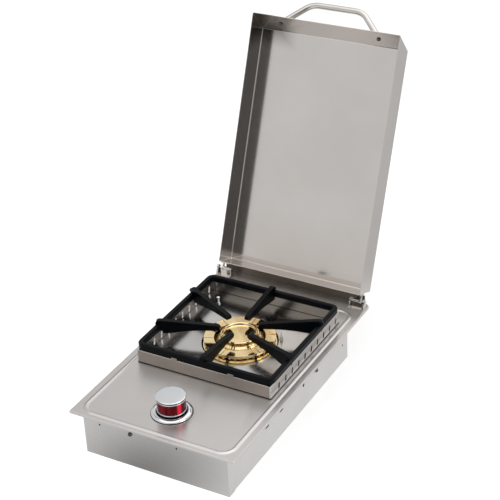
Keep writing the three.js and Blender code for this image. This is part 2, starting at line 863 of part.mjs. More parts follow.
// One grate finger in its own plane: x runs from the burner's centre outwards, y is the height
function fingerShape(tip, root, webEnd) {
  const outer = root + fingerNubOverhang;
  const tipMiddle = (fingerTipTop + fingerTipBottom) / 2;
  const tipRadius = (fingerTipTop - fingerTipBottom) / 2;
  const shape = new THREE.Shape();
  shape.absarc(tip + tipRadius, tipMiddle, tipRadius, Math.PI / 2, Math.PI * 1.5);
  const knee = tip + (webEnd - tip) * fingerSagShare;
  const webMiddle = (fingerTipBottom + fingerWebBottom) / 2;
  shape.quadraticCurveTo(knee, fingerTipBottom, (knee + webEnd) / 2, webMiddle);
  shape.quadraticCurveTo(webEnd - grateRingWidth, fingerWebBottom, webEnd, fingerWebBottom);
  shape.lineTo(webEnd, grateBottom);
  shape.lineTo(root - grateEdge, grateBottom);
  shape.lineTo(root - grateEdge, grateTop);
  shape.lineTo(outer, grateTop);
  shape.quadraticCurveTo(outer, fingerTop, outer - fingerNubLength / 2, fingerTop);
  shape.lineTo(outer - fingerNubLength, fingerTop);
  shape.closePath();
  return shape;
}

// Grate: a rounded ring with six fingers pointing at the burner
function grateGeometry() {
  const ringShape = roundedRectangle(grateWidth, grateDepth, grateCornerRadius);
  const inner = [grateWidth - 2 * grateRingWidth, grateDepth - 2 * grateRingWidth];
  ringShape.holes.push(roundedRectangle(...inner, grateCornerRadius - grateRingWidth));
  const parts = [pressed(ringShape, grateBottom, grateRingHeight, grateEdge)];
  const addFinger = (tip, root, webEnd, angle, offset) => {
    const blade = pressed(fingerShape(tip, root, webEnd), -fingerThickness / 2, fingerThickness, grateEdge);
    parts.push(blade.rotateX(Math.PI / 2).rotateZ(angle).translate(0, offset, 0));
  };
  const endReach = frameDepth / 2 - frameFlangeWidth - runningGap;
  addFinger(fingerTipGap, grateDepth / 2, endReach, Math.PI / 2, 0);
  addFinger(fingerTipGap, grateDepth / 2, endReach, -Math.PI / 2, 0);
  const run = grateWidth / 2 - fingerSideTip;
  const rise = fingerSideRootOffset - fingerSideTipOffset;
  const lean = Math.atan2(rise, run);
  const stretch = 1 / Math.cos(lean);
  const offset = fingerSideTipOffset - fingerSideTip * Math.tan(lean);
  const sideLimit = frameWidth / 2 - frameFlangeWidth - runningGap - (fingerThickness / 2) * Math.sin(lean);
  for (const [sideways, back] of [[1, 1], [1, -1], [-1, 1], [-1, -1]]) {
    const angle = sideways > 0 ? back * lean : Math.PI - back * lean;
    const [tip, root, reach] = [fingerSideTip, grateWidth / 2, sideLimit].map((size) => size * stretch);
    addFinger(tip, root, reach, angle, back * offset);
  }
  return join(...parts);
}

// Bezel ring round the knob
function bezelGeometry() {
  return turned([
    [bezelBore, seatGap],
    [bezelRadius, seatGap],
    [bezelRadius, bezelHeight - bezelEdge],
    [bezelRadius - bezelEdge, bezelHeight],
    [bezelBore + bezelEdge, bezelHeight],
    [bezelBore, bezelHeight - bezelEdge],
  ]);
}

// Chrome cap of the knob with a fine groove round its band
function knobCapGeometry() {
  const groove = knobCapBottom + knobGrooveRise;
  const top = knobTop - knobCapEdge;
  const neck = knobRadius - knobGrooveDepth;
  return turned([
    [0, knobCapBottom],
    [knobRadius, knobCapBottom],
    [knobRadius, groove],
    [neck, groove],
    [neck, groove + knobGrooveWidth],
    [knobRadius, groove + knobGrooveWidth],
    [knobRadius, top],
    [knobRadius - knobCapEdge, knobTop],
    [0, knobTop],
  ]);
}

// Core of the knob: it fills the light band, and its hub takes the stem
function knobCoreGeometry() {
  const radius = lightBandRadius - lightBandWall - seatGap;
  const hubBottom = footRingTop - footRingHeight - knobHubDrop;
  const body = turned([
    [0, hubBottom],
    [knobHubRadius, hubBottom],
    [knobHubRadius, lightBandBottom],
    [radius, lightBandBottom],
    [radius, lightBandTop],
    [0, lightBandTop],
  ]);
  const bore = barZ(stemBore, 0, 0, hubBottom - overrun, lightBandTop - stemTopInset + seatGap);
  return cut(body, bore);
}

// Valve stem with a flat for the knob
function valveStemGeometry() {
  const top = lightBandTop - stemTopInset;
  const stem = barZ(stemRadius, 0, 0, valveTop - stemInValve, top);
  const flat = block(
    [stemFlat, -stemRadius - overrun, top - stemFlatLength],
    [stemRadius + overrun, stemRadius + overrun, top + overrun],
  );
  return cut(stem, flat);
}

// Gas valve: a block with the stem's blind bore
function valveBodyGeometry() {
  const half = valveWidth / 2;
  const body = block([-half, -valveFront, valveTop - valveHeight], [half, valveBack, valveTop]);
  return cut(body, barZ(stemBore, 0, 0, valveTop - valveBoreDepth, valveTop + overrun));
}

// Angle bracket that hangs the valve under the deck
function valveBracketGeometry() {
  const face = valveWidth / 2 + seatGap;
  const top = deckUnderside - seatGap;
  const shape = outline([
    [-valveBracketWidth / 2, top - bracketSheet],
    [face, top - bracketSheet],
    [face, valveTop - valveHeight],
    [face + bracketSheet, valveTop - valveHeight],
    [face + bracketSheet, top],
    [-valveBracketWidth / 2, top],
  ]);
  const angle = alongY(shape, -valveFront, valveBack);
  return cut(angle, barZ(collarRadius + runningGap, 0, 0, top - bracketSheet - overrun, top + overrun));
}

// A spring's centre line
class SpringLine extends THREE.Curve {
  getPoint(share, target = new THREE.Vector3()) {
    const angle = Math.PI * 2 * springTurns * share;
    const height = springBottom + springLength * share;
    return target.set(Math.cos(angle) * springRadius, Math.sin(angle) * springRadius, height);
  }
}

// Jet between the valve and the mixing tube
function orificeGeometry() {
  const start = valveBack + seatGap;
  const end = start + orificeLength;
  const body = barY(orificeRadius, 0, -gasDrop, start, end, hexSides);
  return cut(body, barY(orificeBore, 0, -gasDrop, start - overrun, end + overrun, orificeBoreSides));
}

// Pipe from the inlet at the back to the valve's left side
function manifoldPipeGeometry() {
  const start = [-valveWidth / 2 - seatGap, knobFromFront, -pipeDrop];
  const corner = [-pipeOffset, knobFromFront, -pipeDrop];
  const end = [-pipeOffset, boxBack - sheet - inletInside - seatGap, -pipeDrop];
  const way = bentPath([start, corner, end], pipeBend);
  const longStart = [start[0] + overrun, start[1], start[2]];
  const longEnd = [end[0], end[1] + overrun, end[2]];
  const longWay = bentPath([longStart, corner, longEnd], pipeBend);
  const outer = alongPath(way, pipeRadius, pipeSides, pipeSteps);
  return cut(outer, alongPath(longWay, pipeBore, pipeBoreSides, pipeSteps));
}

// Inlet fitting through the back wall: hexagon outside, spigot inside
function gasInletGeometry() {
  const wallBack = boxBack + seatGap;
  const [x, z] = [-pipeOffset, -pipeDrop];
  const hexagon = barY(inletHexRadius, x, z, wallBack, wallBack + inletHexLength, hexSides);
  const front = boxBack - sheet - inletInside;
  const back = wallBack + inletHexLength + inletSpigotLength;
  const spigot = barY(inletSpigotRadius, x, z, front, back);
  return cut(join(hexagon, spigot), barY(inletBore, x, z, front - overrun, back + overrun));
}

// Electrode: a ceramic rod with a collar and a wire tip
function electrodeGeometry() {
  const collarLow = -igniterPlateDrop + seatGap;
  return turned([
    [0, electrodeBottom],
    [electrodeRadius, electrodeBottom],
    [electrodeRadius, collarLow],
    [electrodeCollarRadius, collarLow],
    [electrodeCollarRadius, collarLow + electrodeCollarHeight],
    [electrodeRadius, collarLow + electrodeCollarHeight],
    [electrodeRadius, electrodeTop],
    [electrodeWireRadius, electrodeTop],
    [electrodeWireRadius, electrodeTop + electrodeWireHeight],
    [0, electrodeTop + electrodeWireHeight],
  ], smallSteps);
}

// Plate that holds the electrode beside the bowl
function igniterBracketGeometry() {
  const half = igniterPlateWidth / 2;
  const [low, high] = [-igniterPlateDrop - bracketSheet, -igniterPlateDrop];
  const plate = block([bowlRadius - half, -half, low], [electrodeReach + half, half, high]);
  const foot = low - igniterFootDrop;
  const tab = block([bowlRadius - half, -half, foot], [bowlRadius + seatGap + bracketSheet, half, high]);
  const bowl = barZ(bowlRadius + seatGap, 0, 0, foot - overrun, high + overrun, roundSteps);
  const hole = barZ(electrodeRadius + seatGap, electrodeReach, 0, low - overrun, high + overrun);
  return cut(join(plate, tab), bowl, hole).rotateZ(electrodeTurn);
}

// Spark module on the right wall, with the bore for its screw
function sparkModuleGeometry() {
  const outer = boxInner - seatGap;
  const [front, back] = [moduleFromFront - moduleLength / 2, moduleFromFront + moduleLength / 2];
  const [low, high] = [-sideHoleDrop - moduleHeight / 2, -sideHoleDrop + moduleHeight / 2];
  const body = block([outer - moduleWidth, front, low], [outer, back, high]);
  const [boreFrom, boreTo] = [outer - screwLength, outer + overrun];
  return cut(body, barX(screwRadius + seatGap, moduleScrewPlace, -sideHoleDrop, boreFrom, boreTo));
}

// Ignition lead from the module to the electrode
function igniterLeadGeometry() {
  const moduleTop = -sideHoleDrop + moduleHeight / 2 + seatGap;
  const x = boxInner - seatGap - moduleWidth / 2;
  const low = electrodeBottom - leadRise;
  const points = [
    [x, moduleFromFront, moduleTop],
    [x, moduleFromFront, moduleTop + leadRise],
    [x - moduleWidth, moduleFromFront, moduleTop + leadRise],
    [electrodeOffset + leadRise, electrodeY + leadRise, low],
    [electrodeOffset, electrodeY, low],
    [electrodeOffset, electrodeY, electrodeBottom - seatGap],
  ];
  return alongPath(bentPath(points, leadBend), leadRadius, leadSides, leadSteps);
}

// Lid: a tray with a slanted front wall, closed and seen from the hinge axis
function lidShellGeometry() {
  const half = lidWidth / 2;
  const frontInset = sheet / Math.sin(handleWallSlope);
  const slant = lidFrontSlant / lidDepth;
  const outer = outline([
    [lidTopFront, lidTop],
    [lidRimFront, lidRim],
    [lidBack, lidRim],
    [lidBack, lidTop],
  ]);
  const inner = outline([
    [lidTopFront + frontInset - sheet * slant, lidTop - sheet],
    [lidRimFront + frontInset - overrun * slant, lidRim - overrun],
    [lidBack - sheet, lidRim - overrun],
    [lidBack - sheet, lidTop - sheet],
  ]);
  const shell = cut(alongX(outer, -half, half), alongX(inner, -half + sheet, half - sheet));
  const wall = handleWallPlace();
  const holes = [-handleSpread, handleSpread].map((x) => {
    const hole = barZ(screwRadius + seatGap, x, 0, -overrun, overrun);
    return hole.rotateX(handleWallSlope).translate(0, wall[1], wall[2]);
  });
  return cut(shell, ...holes);
}

// Where the handle stands on the outer face of the slanted wall
function handleWallPlace() {
  const y = lidTopFront + (lidRimFront - lidTopFront) * handleWallShare;
  const z = lidTop - lidDepth * handleWallShare;
  return [0, y, z];
}

// Handle: a bent bar whose feet are cut flush with the wall and bored for the screws
function handleGeometry() {
  const run = (handleSpread - handleGripHalf) / handleHeight;
  const foot = handleSpread + run * handleOverrun;
  const points = [
    [-foot, 0, -handleOverrun],
    [-handleGripHalf, 0, handleHeight],
    [handleGripHalf, 0, handleHeight],
    [foot, 0, -handleOverrun],
  ];
  const bar = alongPath(bentPath(points, handleBend), handleRadius, handleSides, handleSteps);
  const wide = foot + handleRadius * 2;
  const wall = block([-wide, -wide, -wide], [wide, wide, seatGap]);
  const bores = [-handleSpread, handleSpread].map((x) => {
    return barZ(screwRadius + seatGap, x, 0, -overrun, seatGap + handleBoreDepth);
  });
  return cut(bar, wall, ...bores);
}

// Hinge bracket on the deck, seen from the hinge axis. Made for the right; the left is mirrored.
function hingeBracketGeometry() {
  const footTop = seatGap + bracketThickness - hingeHeight;
  const foot = block(
    [hingeInner, -bracketFootFront, seatGap - hingeHeight],
    [hingeOuter, bracketFootBack, footTop],
  );
  const ear = (front, radius) => {
    const shape = new THREE.Shape();
    shape.moveTo(front, seatGap - hingeHeight);
    shape.lineTo(bracketFootBack, seatGap - hingeHeight);
    shape.lineTo(radius, 0);
    shape.absarc(0, 0, radius, 0, Math.PI);
    shape.closePath();
    return shape;
  };
  const outerEar = alongX(ear(-bracketFootFront, earRadius), hingeOuter - outerEarThickness, hingeOuter);
  const innerEar = alongX(ear(-earRadius, barrelRadius), hingeInner, hingeInner + innerEarThickness);
  const bore = barX(hingeBore, 0, 0, hingeInner - overrun, hingeOuter + overrun);
  return cut(join(foot, outerEar, innerEar), bore);
}

// Hinge pin with a head outside the bracket
function hingePinGeometry() {
  const pin = barX(hingePinRadius, 0, 0, hingeInner - seatGap, pinEnd + seatGap);
  return join(pin, barX(pinHeadRadius, 0, 0, pinEnd, pinEnd + pinHeadHeight));
}

// Hinge leaf on the lid's back wall: flange, lug and barrel
function hingeLeafGeometry() {
  const inner = hingeInner + innerEarThickness + runningGap;
  const face = lidBack + seatGap;
  const flange = block([inner, face, -leafLow], [lugOuter, face + leafThickness, leafHigh]);
  const shape = new THREE.Shape();
  shape.moveTo(face, -lugRadius);
  shape.absarc(0, 0, lugRadius, -Math.PI / 2, Math.PI / 2);
  shape.lineTo(face, lugRadius);
  shape.closePath();
  const lug = alongX(shape, lugOuter - lugThickness, lugOuter);
  const barrel = barX(barrelRadius, 0, 0, inner, lugOuter - lugThickness / 2);
  const bore = barX(hingeBore, 0, 0, inner - overrun, lugOuter + overrun);
  return cut(join(flange, lug, barrel), bore);
}

// Mirrors what is made for the right side
function mirrored(group) {
  group.scale.x = -1;
  return group;
}

// Box and deck
function housing() {
  const frontScrew = piece("front_panel_screw", screw(screwLength), "polished");
  frontScrew.position.set(frontScrewOffset, boxFrontInset, -frontHoleDrop);
  frontScrew.rotation.x = Math.PI / 2;
  const moduleScrew = piece("module_screw", screw(screwLength), "polished");
  moduleScrew.position.set(boxWidth / 2, moduleScrewPlace, -sideHoleDrop);
  moduleScrew.rotation.y = Math.PI / 2;
  return assembly(
    [0, 0, 0],
    piece("deck", deckGeometry(), "steel"),
    piece("front_panel", frontPanelGeometry(), "panel"),
    piece("right_side_panel", sidePanelGeometry(true), "panel"),
    mirrored(assembly([0, 0, 0], piece("left_side_panel", sidePanelGeometry(false), "panel"))),
    piece("back_panel", backPanelGeometry(), "panel"),
    piece("bottom_panel", bottomPanelGeometry(), "panel"),
    frontScrew,
    moduleScrew,
  );
}

// Frame and pan round the burner
function burnerFrame() {
  return assembly(
    [0, 0, 0],
    piece("frame_front_wall", frameEndGeometry(frameFront, 1, true), "steel"),
    piece("frame_back_wall", frameEndGeometry(frameBack, -1, false), "steel"),
    piece("frame_right_wall", frameSideGeometry(), "steel"),
    mirrored(assembly([0, 0, 0], piece("frame_left_wall", frameSideGeometry(), "steel"))),
    piece("drip_pan", dripPanGeometry(), "polished"),
    assembly([-studOffset, frameBack - studBackInset, 0], piece("pan_stud", panStudGeometry(), "polished")),
  );
}

// Burner head, body and grate
function burner() {
  const bracket = piece("burner_bracket", burnerBracketGeometry(), "panel");
  const electrode = piece("igniter_electrode", electrodeGeometry(), "ceramic");
  const head = assembly(
    [0, burnerY, 0],
    piece("burner_ring", burnerRingGeometry(), "brass"),
    piece("burner_crown", burnerCrownGeometry(), "brass"),
    piece("burner_cap", burnerCapGeometry(), "brass"),
    piece("burner_base", burnerBaseGeometry(), "castAluminium"),
    piece("venturi_tube", venturiGeometry(), "panel"),
    piece("air_shutter", airShutterGeometry(), "panel"),
    piece("grate", grateGeometry(), "castIron"),
    piece("igniter_bracket", igniterBracketGeometry(), "panel"),
    assembly([electrodeOffset, electrodeBack, 0], electrode),
  );
  return assembly([0, 0, 0], bracket, head);
}

// Knob, valve and what feeds them
function controls() {
  const spring = alongPath(new SpringLine(), springWireRadius, springSides, springTurns * springTurnSteps);
  const lightRing = ring(lightRingOuterRadius, stemHoleRadius, seatGap, seatGap + lightRingHeight);
  const bandInner = lightBandRadius - lightBandWall;
  const band = ring(lightBandRadius, bandInner, lightBandBottom, lightBandTop);
  const hubClearance = knobHubRadius + runningGap;
  const footRing = ring(footRingRadius, hubClearance, footRingTop - footRingHeight, footRingTop);
  const collar = ring(collarRadius, stemBore, collarBottom, collarBottom + collarHeight, smallSteps);
  const knobSide = assembly(
    [0, knobFromFront, 0],
    piece("knob_bezel", bezelGeometry(), "polished"),
    piece("light_ring", lightRing, "blackPlastic"),
    piece("knob_cap", knobCapGeometry(), "polished"),
    piece("knob_light_band", band, "redLight"),
    piece("knob_foot_ring", footRing, "polished"),
    piece("knob_core", knobCoreGeometry(), "blackPlastic"),
    piece("valve_stem", valveStemGeometry(), "valveBrass"),
    piece("stem_collar", collar, "panel"),
    piece("return_spring", spring, "spring"),
    piece("valve_body", valveBodyGeometry(), "valveBrass"),
    piece("valve_bracket", valveBracketGeometry(), "panel"),
    piece("gas_orifice", orificeGeometry(), "valveBrass"),
  );
  return assembly(
    [0, 0, 0],
    knobSide,
    piece("manifold_pipe", manifoldPipeGeometry(), "panel"),
    piece("gas_inlet", gasInletGeometry(), "valveBrass"),
    piece("spark_module", sparkModuleGeometry(), "blackPlastic"),
    piece("igniter_lead", igniterLeadGeometry(), "rubber"),
  );
}

// Lid with its handle and hinge leaves, swung open about the hinge axis
function lid() {
  const handle = assembly(handleWallPlace(), piece("lid_handle", handleGeometry(), "polished"));
  handle.rotation.x = handleWallSlope;
  for (const [name, x] of [["handle_screw_left", -handleSpread], ["handle_screw_right", handleSpread]]) {
    const fastener = piece(name, screw(handleScrewLength), "polished");
    fastener.position.set(x, 0, -sheet);
    fastener.rotation.x = Math.PI;
    handle.add(fastener);
  }
  const group = assembly(
    [0, hingeY, hingeHeight],
    piece("lid_shell", lidShellGeometry(), "steel"),
    handle,
    piece("hinge_leaf_right", hingeLeafGeometry(), "polished"),
    mirrored(assembly([0, 0, 0], piece("hinge_leaf_left", hingeLeafGeometry(), "polished"))),
  );
  group.rotation.x = -lidOpenAngle;
  return group;
}

// Fixed halves of the hinges
function hinges() {
  const side = (name) => assembly(
    [0, 0, 0],
    piece(`hinge_bracket_${name}`, hingeBracketGeometry(), "polished"),
    piece(`hinge_pin_${name}`, hingePinGeometry(), "polished"),
  );
  return assembly([0, hingeY, hingeHeight], side("right"), mirrored(side("left")));
}

const sideBurner = assembly(
  [0, -(boxFrontInset + boxBack) / 2, boxHeight],
  housing(),
  burnerFrame(),
  burner(),
  controls(),
  lid(),
  hinges(),
);
const part = new THREE.Group();
part.add(sideBurner);

export default part;
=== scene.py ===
"""Looks of the drop-in side burner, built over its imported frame.

Lengths are millimetres from the middle of the deck's front edge, with z = 0 on the deck's top face.
Each piece is moved to the frame's metres when it is finished.
"""

from __future__ import annotations

import logging
import math
from dataclasses import dataclass
from enum import Enum
from typing import Callable, Iterable, Sequence

import bmesh
import bpy
from mathutils import Matrix, Vector


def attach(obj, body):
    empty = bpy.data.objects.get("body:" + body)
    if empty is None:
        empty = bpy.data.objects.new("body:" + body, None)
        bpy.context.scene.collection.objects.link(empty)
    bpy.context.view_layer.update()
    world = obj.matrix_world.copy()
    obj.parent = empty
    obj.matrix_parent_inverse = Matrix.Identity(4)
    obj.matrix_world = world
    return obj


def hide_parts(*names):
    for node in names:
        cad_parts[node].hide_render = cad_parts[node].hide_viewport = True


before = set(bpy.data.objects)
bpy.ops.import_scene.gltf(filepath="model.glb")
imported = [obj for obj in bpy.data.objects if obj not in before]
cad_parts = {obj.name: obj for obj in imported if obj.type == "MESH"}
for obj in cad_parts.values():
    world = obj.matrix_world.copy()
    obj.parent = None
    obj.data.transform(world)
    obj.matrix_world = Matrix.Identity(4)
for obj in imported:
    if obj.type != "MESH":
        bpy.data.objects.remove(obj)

LOG = logging.getLogger("side_burner")

Point = tuple[float, float, float]
Colour = tuple[float, float, float]
Profile = tuple[tuple[float, float], ...]
Edges = list[bmesh.types.BMEdge]
Element = bmesh.types.BMVert | bmesh.types.BMEdge | bmesh.types.BMFace

# Millimetres to the metre
MILLI = 1000

# From the deck's millimetres, and from those of the closed lid's hinge, to the frame's metres
DECK = Matrix.Scale(1 / MILLI, 4) @ Matrix.Translation((0, -245.15, 90))
HINGE_AXIS = (0, 518, 15)
LID_OPEN = math.radians(111.3)
LID = DECK @ Matrix.Translation(HINGE_AXIS) @ Matrix.Rotation(-LID_OPEN, 4, "X")

# Places and sizes that several pieces share
BURNER_Y = 317.5
KNOB_Y = 75.5
KNOB_MIDDLE: Point = tuple(DECK @ Vector((0, KNOB_Y, 20)))
IGNITER = (67, 354.5)
SHEET = 1.2
SEAM = 0.3

# How meshes are joined, rounded and grained
MERGE = 1e-4
PLACES = 4
SKIN_LIFT = 30
SHEET_FOLD = math.radians(50)
NODE_FOLD = math.radians(34)
GRAIN_MAP = "grain"
GRAIN_UNIT = 100


class Body(Enum):
    """The bodies of the frame."""

    BASE = "base"
    LID = "lid"
    KNOB = "knob"
    PLUNGER = "knob_plunger"


class Slot(Enum):
    """The material slots of the record."""

    BRUSHED = "brushed_sheet"
    BOX = "box_sheet"
    POLISHED = "polished_steel"
    BRASS = "burner_brass"
    IRON = "cast_iron"
    ALUMINIUM = "cast_aluminium"
    VALVE = "valve_brass"
    RED = "red_light"
    BLACK = "black_plastic"
    CERAMIC = "electrode_ceramic"
    RUBBER = "lead_rubber"


def join_values(
    tree: bpy.types.NodeTree, operation: str,
    first: bpy.types.NodeSocket | float, second: bpy.types.NodeSocket | float,
) -> bpy.types.NodeSocket:
    """Adds a sum, product or other joining of two values to a node tree.

    Args:
        tree: the node tree.
        operation: the name of the joining.
        first: a socket or a number.
        second: a socket or a number.

    Returns:
        The result's socket.
    """
    node = tree.nodes.new("ShaderNodeMath")
    node.operation = operation
    for number, value in enumerate((first, second)):
        if isinstance(value, bpy.types.NodeSocket):
            tree.links.new(value, node.inputs[number])
        else:
            node.inputs[number].default_value = value
    return node.outputs["Value"]


class Graph:
    """A material's node tree, with short ways to add and join nodes.

    Attributes:
        NOISE_REACH: the noise values between which a value runs.
        BLEND_REACH: the noise values between which a colour runs.
    """

    NOISE_REACH = (0.3, 0.7)
    BLEND_REACH = (0.32, 0.68)

    def __init__(self, name: str) -> None:
        """Starts a material that holds only its shader and output.

        Args:
            name: the material's name.
        """
        self.material = bpy.data.materials.new(name)
        self.material.use_nodes = True
        self.tree = self.material.node_tree
        self.shader = self.tree.nodes["Principled BSDF"]
        self.place = self.tree.nodes.new("ShaderNodeTexCoord").outputs["Object"]

    def add(self, kind: str, **values: float | str | Sequence[float]) -> bpy.types.Node:
        """Adds a node.

        Args:
            kind: the node's type.
            values: values of its inputs or properties, with _ for a space.

        Returns:
            The node.
        """
        node = self.tree.nodes.new(kind)
        for key, value in values.items():
            if hasattr(node, key):
                setattr(node, key, value)
            else:
                node.inputs[key.replace("_", " ")].default_value = value
        return node

    def link(self, source: bpy.types.NodeSocket, target: bpy.types.NodeSocket) -> None:
        """Joins two sockets."""
        self.tree.links.new(source, target)

    def noise(self, scale: float, stretch: Point = (1, 1, 1), detail: float = 3) -> bpy.types.NodeSocket:
        """Adds a noise that is laid out in the object's own metres.

        Args:
            scale: grains to the metre.
            stretch: how much finer the grain is along each axis.
            detail: how many finer layers it has.

        Returns:
            The noise's factor.
        """
        mapping = self.add("ShaderNodeMapping", Scale=stretch)
        noise = self.add("ShaderNodeTexNoise", Scale=scale, Detail=detail)
        self.link(self.place, mapping.inputs["Vector"])
        self.link(mapping.outputs["Vector"], noise.inputs["Vector"])
        return noise.outputs["Fac"]

    def spread(self, factor: bpy.types.NodeSocket, low: float, high: float) -> bpy.types.NodeSocket:
        """Turns a noise into a value between two limits."""
        start, end = self.NOISE_REACH
        node = self.add("ShaderNodeMapRange", From_Min=start, From_Max=end, To_Min=low, To_Max=high)
        self.link(factor, node.inputs["Value"])
        return node.outputs["Result"]

    def blend(self, factor: bpy.types.NodeSocket, first: Colour, second: Colour) -> bpy.types.NodeSocket:
        """Turns a noise into a colour between two colours."""
        ramp = self.add("ShaderNodeValToRGB")
        for stop, place, colour in zip(ramp.color_ramp.elements, self.BLEND_REACH, (first, second)):
            stop.position = place
            stop.color = (*colour, 1)
        self.link(factor, ramp.inputs["Fac"])
        return ramp.outputs["Color"]

    def math(
        self, operation: str, first: bpy.types.NodeSocket, second: bpy.types.NodeSocket | float
    ) -> bpy.types.NodeSocket:
        """Joins two values and returns the result."""
        return join_values(self.tree, operation, first, second)

    def bump(self, factor: bpy.types.NodeSocket, strength: float, distance: float) -> None:
        """Presses a noise into the surface."""
        node = self.add("ShaderNodeBump", Strength=strength, Distance=distance)
        before = self.shader.inputs["Normal"]
        if before.is_linked:
            self.link(before.links[0].from_socket, node.inputs["Normal"])
        self.link(factor, node.inputs["Height"])
        self.link(node.outputs["Normal"], before)


@dataclass(frozen=True)
class Finish:
    """A surface finish.

    Attributes:
        name: the material's name.
        slot: the record's material slot it belongs to; not used.
        colour: its own colour.
        blotch_and_shade: the colour its blotches lean to.
        roughness: its lowest and highest roughness.
        metallic: 1 for metal.
        blotch: blotches to the metre.
        grain: grains to the metre.
        stretch: how much finer the grain is along each axis.
        relief: strength and depth of the grain, in metres.
        gloss: the shader's specular level.
    """

    name: str
    slot: Slot
    colour: Colour
    blotch_and_shade: Colour
    roughness: tuple[float, float]
    metallic: float
    blotch: float
    grain: float
    stretch: Point
    relief: tuple[float, float]
    gloss: float = 0.5

    def build(self) -> Graph:
        """Makes the material's nodes and returns them."""
        graph = Graph(self.name)
        graph.shader.inputs["Specular IOR Level"].default_value = self.gloss
        blotches = graph.noise(self.blotch)
        grain = graph.noise(self.grain, self.stretch)
        graph.link(graph.blend(blotches, self.blotch_and_shade, self.colour), graph.shader.inputs["Base Color"])
        graph.shader.inputs["Metallic"].default_value = self.metallic
        graph.link(graph.spread(grain, *self.roughness), graph.shader.inputs["Roughness"])
        graph.bump(grain, *self.relief)
        return graph


@dataclass(frozen=True)
class StreakFinish(Finish):
    """A brushed finish that draws highlights out across its grain.

    Attributes:
        streak: how far it draws them out.
    """

    streak: float = 0.7

    def build(self) -> Graph:
        """Makes the material's nodes and returns them."""
        graph = super().build()
        graph.shader.inputs["Anisotropic"].default_value = self.streak
        graph.shader.inputs["Anisotropic Rotation"].default_value = 0.25
        tangent = graph.add("ShaderNodeTangent", direction_type="UV_MAP", uv_map=GRAIN_MAP)
        graph.link(tangent.outputs["Tangent"], graph.shader.inputs["Tangent"])
        return graph


@dataclass(frozen=True)
class Darkening:
    """A box with soft sides inside which a finish's colour is darkened, mostly as painted shade.

    Attributes:
        middle: the box's middle, in the frame's metres.
        half: half its width, depth and height.
        fade: the share of its half size over which it fades out.
        colour: how much of the finish's colour is left in it.
    """

    middle: Point
    half: Point
    fade: float
    colour: Colour


@dataclass(frozen=True)
class DarkenedFinish(Finish):
    """A finish that is darkened inside boxes, mostly as painted shade.

    Attributes:
        darkenings: the boxes in which its colour is darkened.
    """

    darkenings: tuple[Darkening, ...] = ()

    def build(self) -> Graph:
        """Makes the material's nodes and returns them."""
        graph = super().build()
        base = graph.shader.inputs["Base Color"]
        # Darken the colour inside each box: painted shade, and the lid's darker lower end
        for blotch_and_shade in self.darkenings:
            place = graph.add("ShaderNodeVectorMath", operation="SUBTRACT")
            place.inputs[1].default_value = blotch_and_shade.middle
            graph.link(graph.place, place.inputs[0])
            share = graph.add("ShaderNodeVectorMath", operation="DIVIDE")
            share.inputs[1].default_value = blotch_and_shade.half
            graph.link(place.outputs["Vector"], share.inputs[0])
            size = graph.add("ShaderNodeVectorMath", operation="ABSOLUTE")
            graph.link(share.outputs["Vector"], size.inputs[0])
            parts = graph.add("ShaderNodeSeparateXYZ")
            graph.link(size.outputs["Vector"], parts.inputs[0])
            wide = graph.math("MAXIMUM", parts.outputs["X"], parts.outputs["Y"])
            wide = graph.math("MAXIMUM", wide, parts.outputs["Z"])
            inside = graph.add("ShaderNodeMapRange", interpolation_type="SMOOTHSTEP", To_Min=1, To_Max=0)
            inside.inputs["From Min"].default_value = 1 - blotch_and_shade.fade
            inside.inputs["From Max"].default_value = 1
            graph.link(wide, inside.inputs["Value"])
            tint = graph.add("ShaderNodeMix", data_type="RGBA", blend_type="MULTIPLY")
            graph.link(inside.outputs["Result"], tint.inputs[0])
            graph.link(base.links[0].from_socket, tint.inputs[6])
            tint.inputs[7].default_value = (*blotch_and_shade.colour, 1)
            graph.link(tint.outputs[2], base)
        return graph


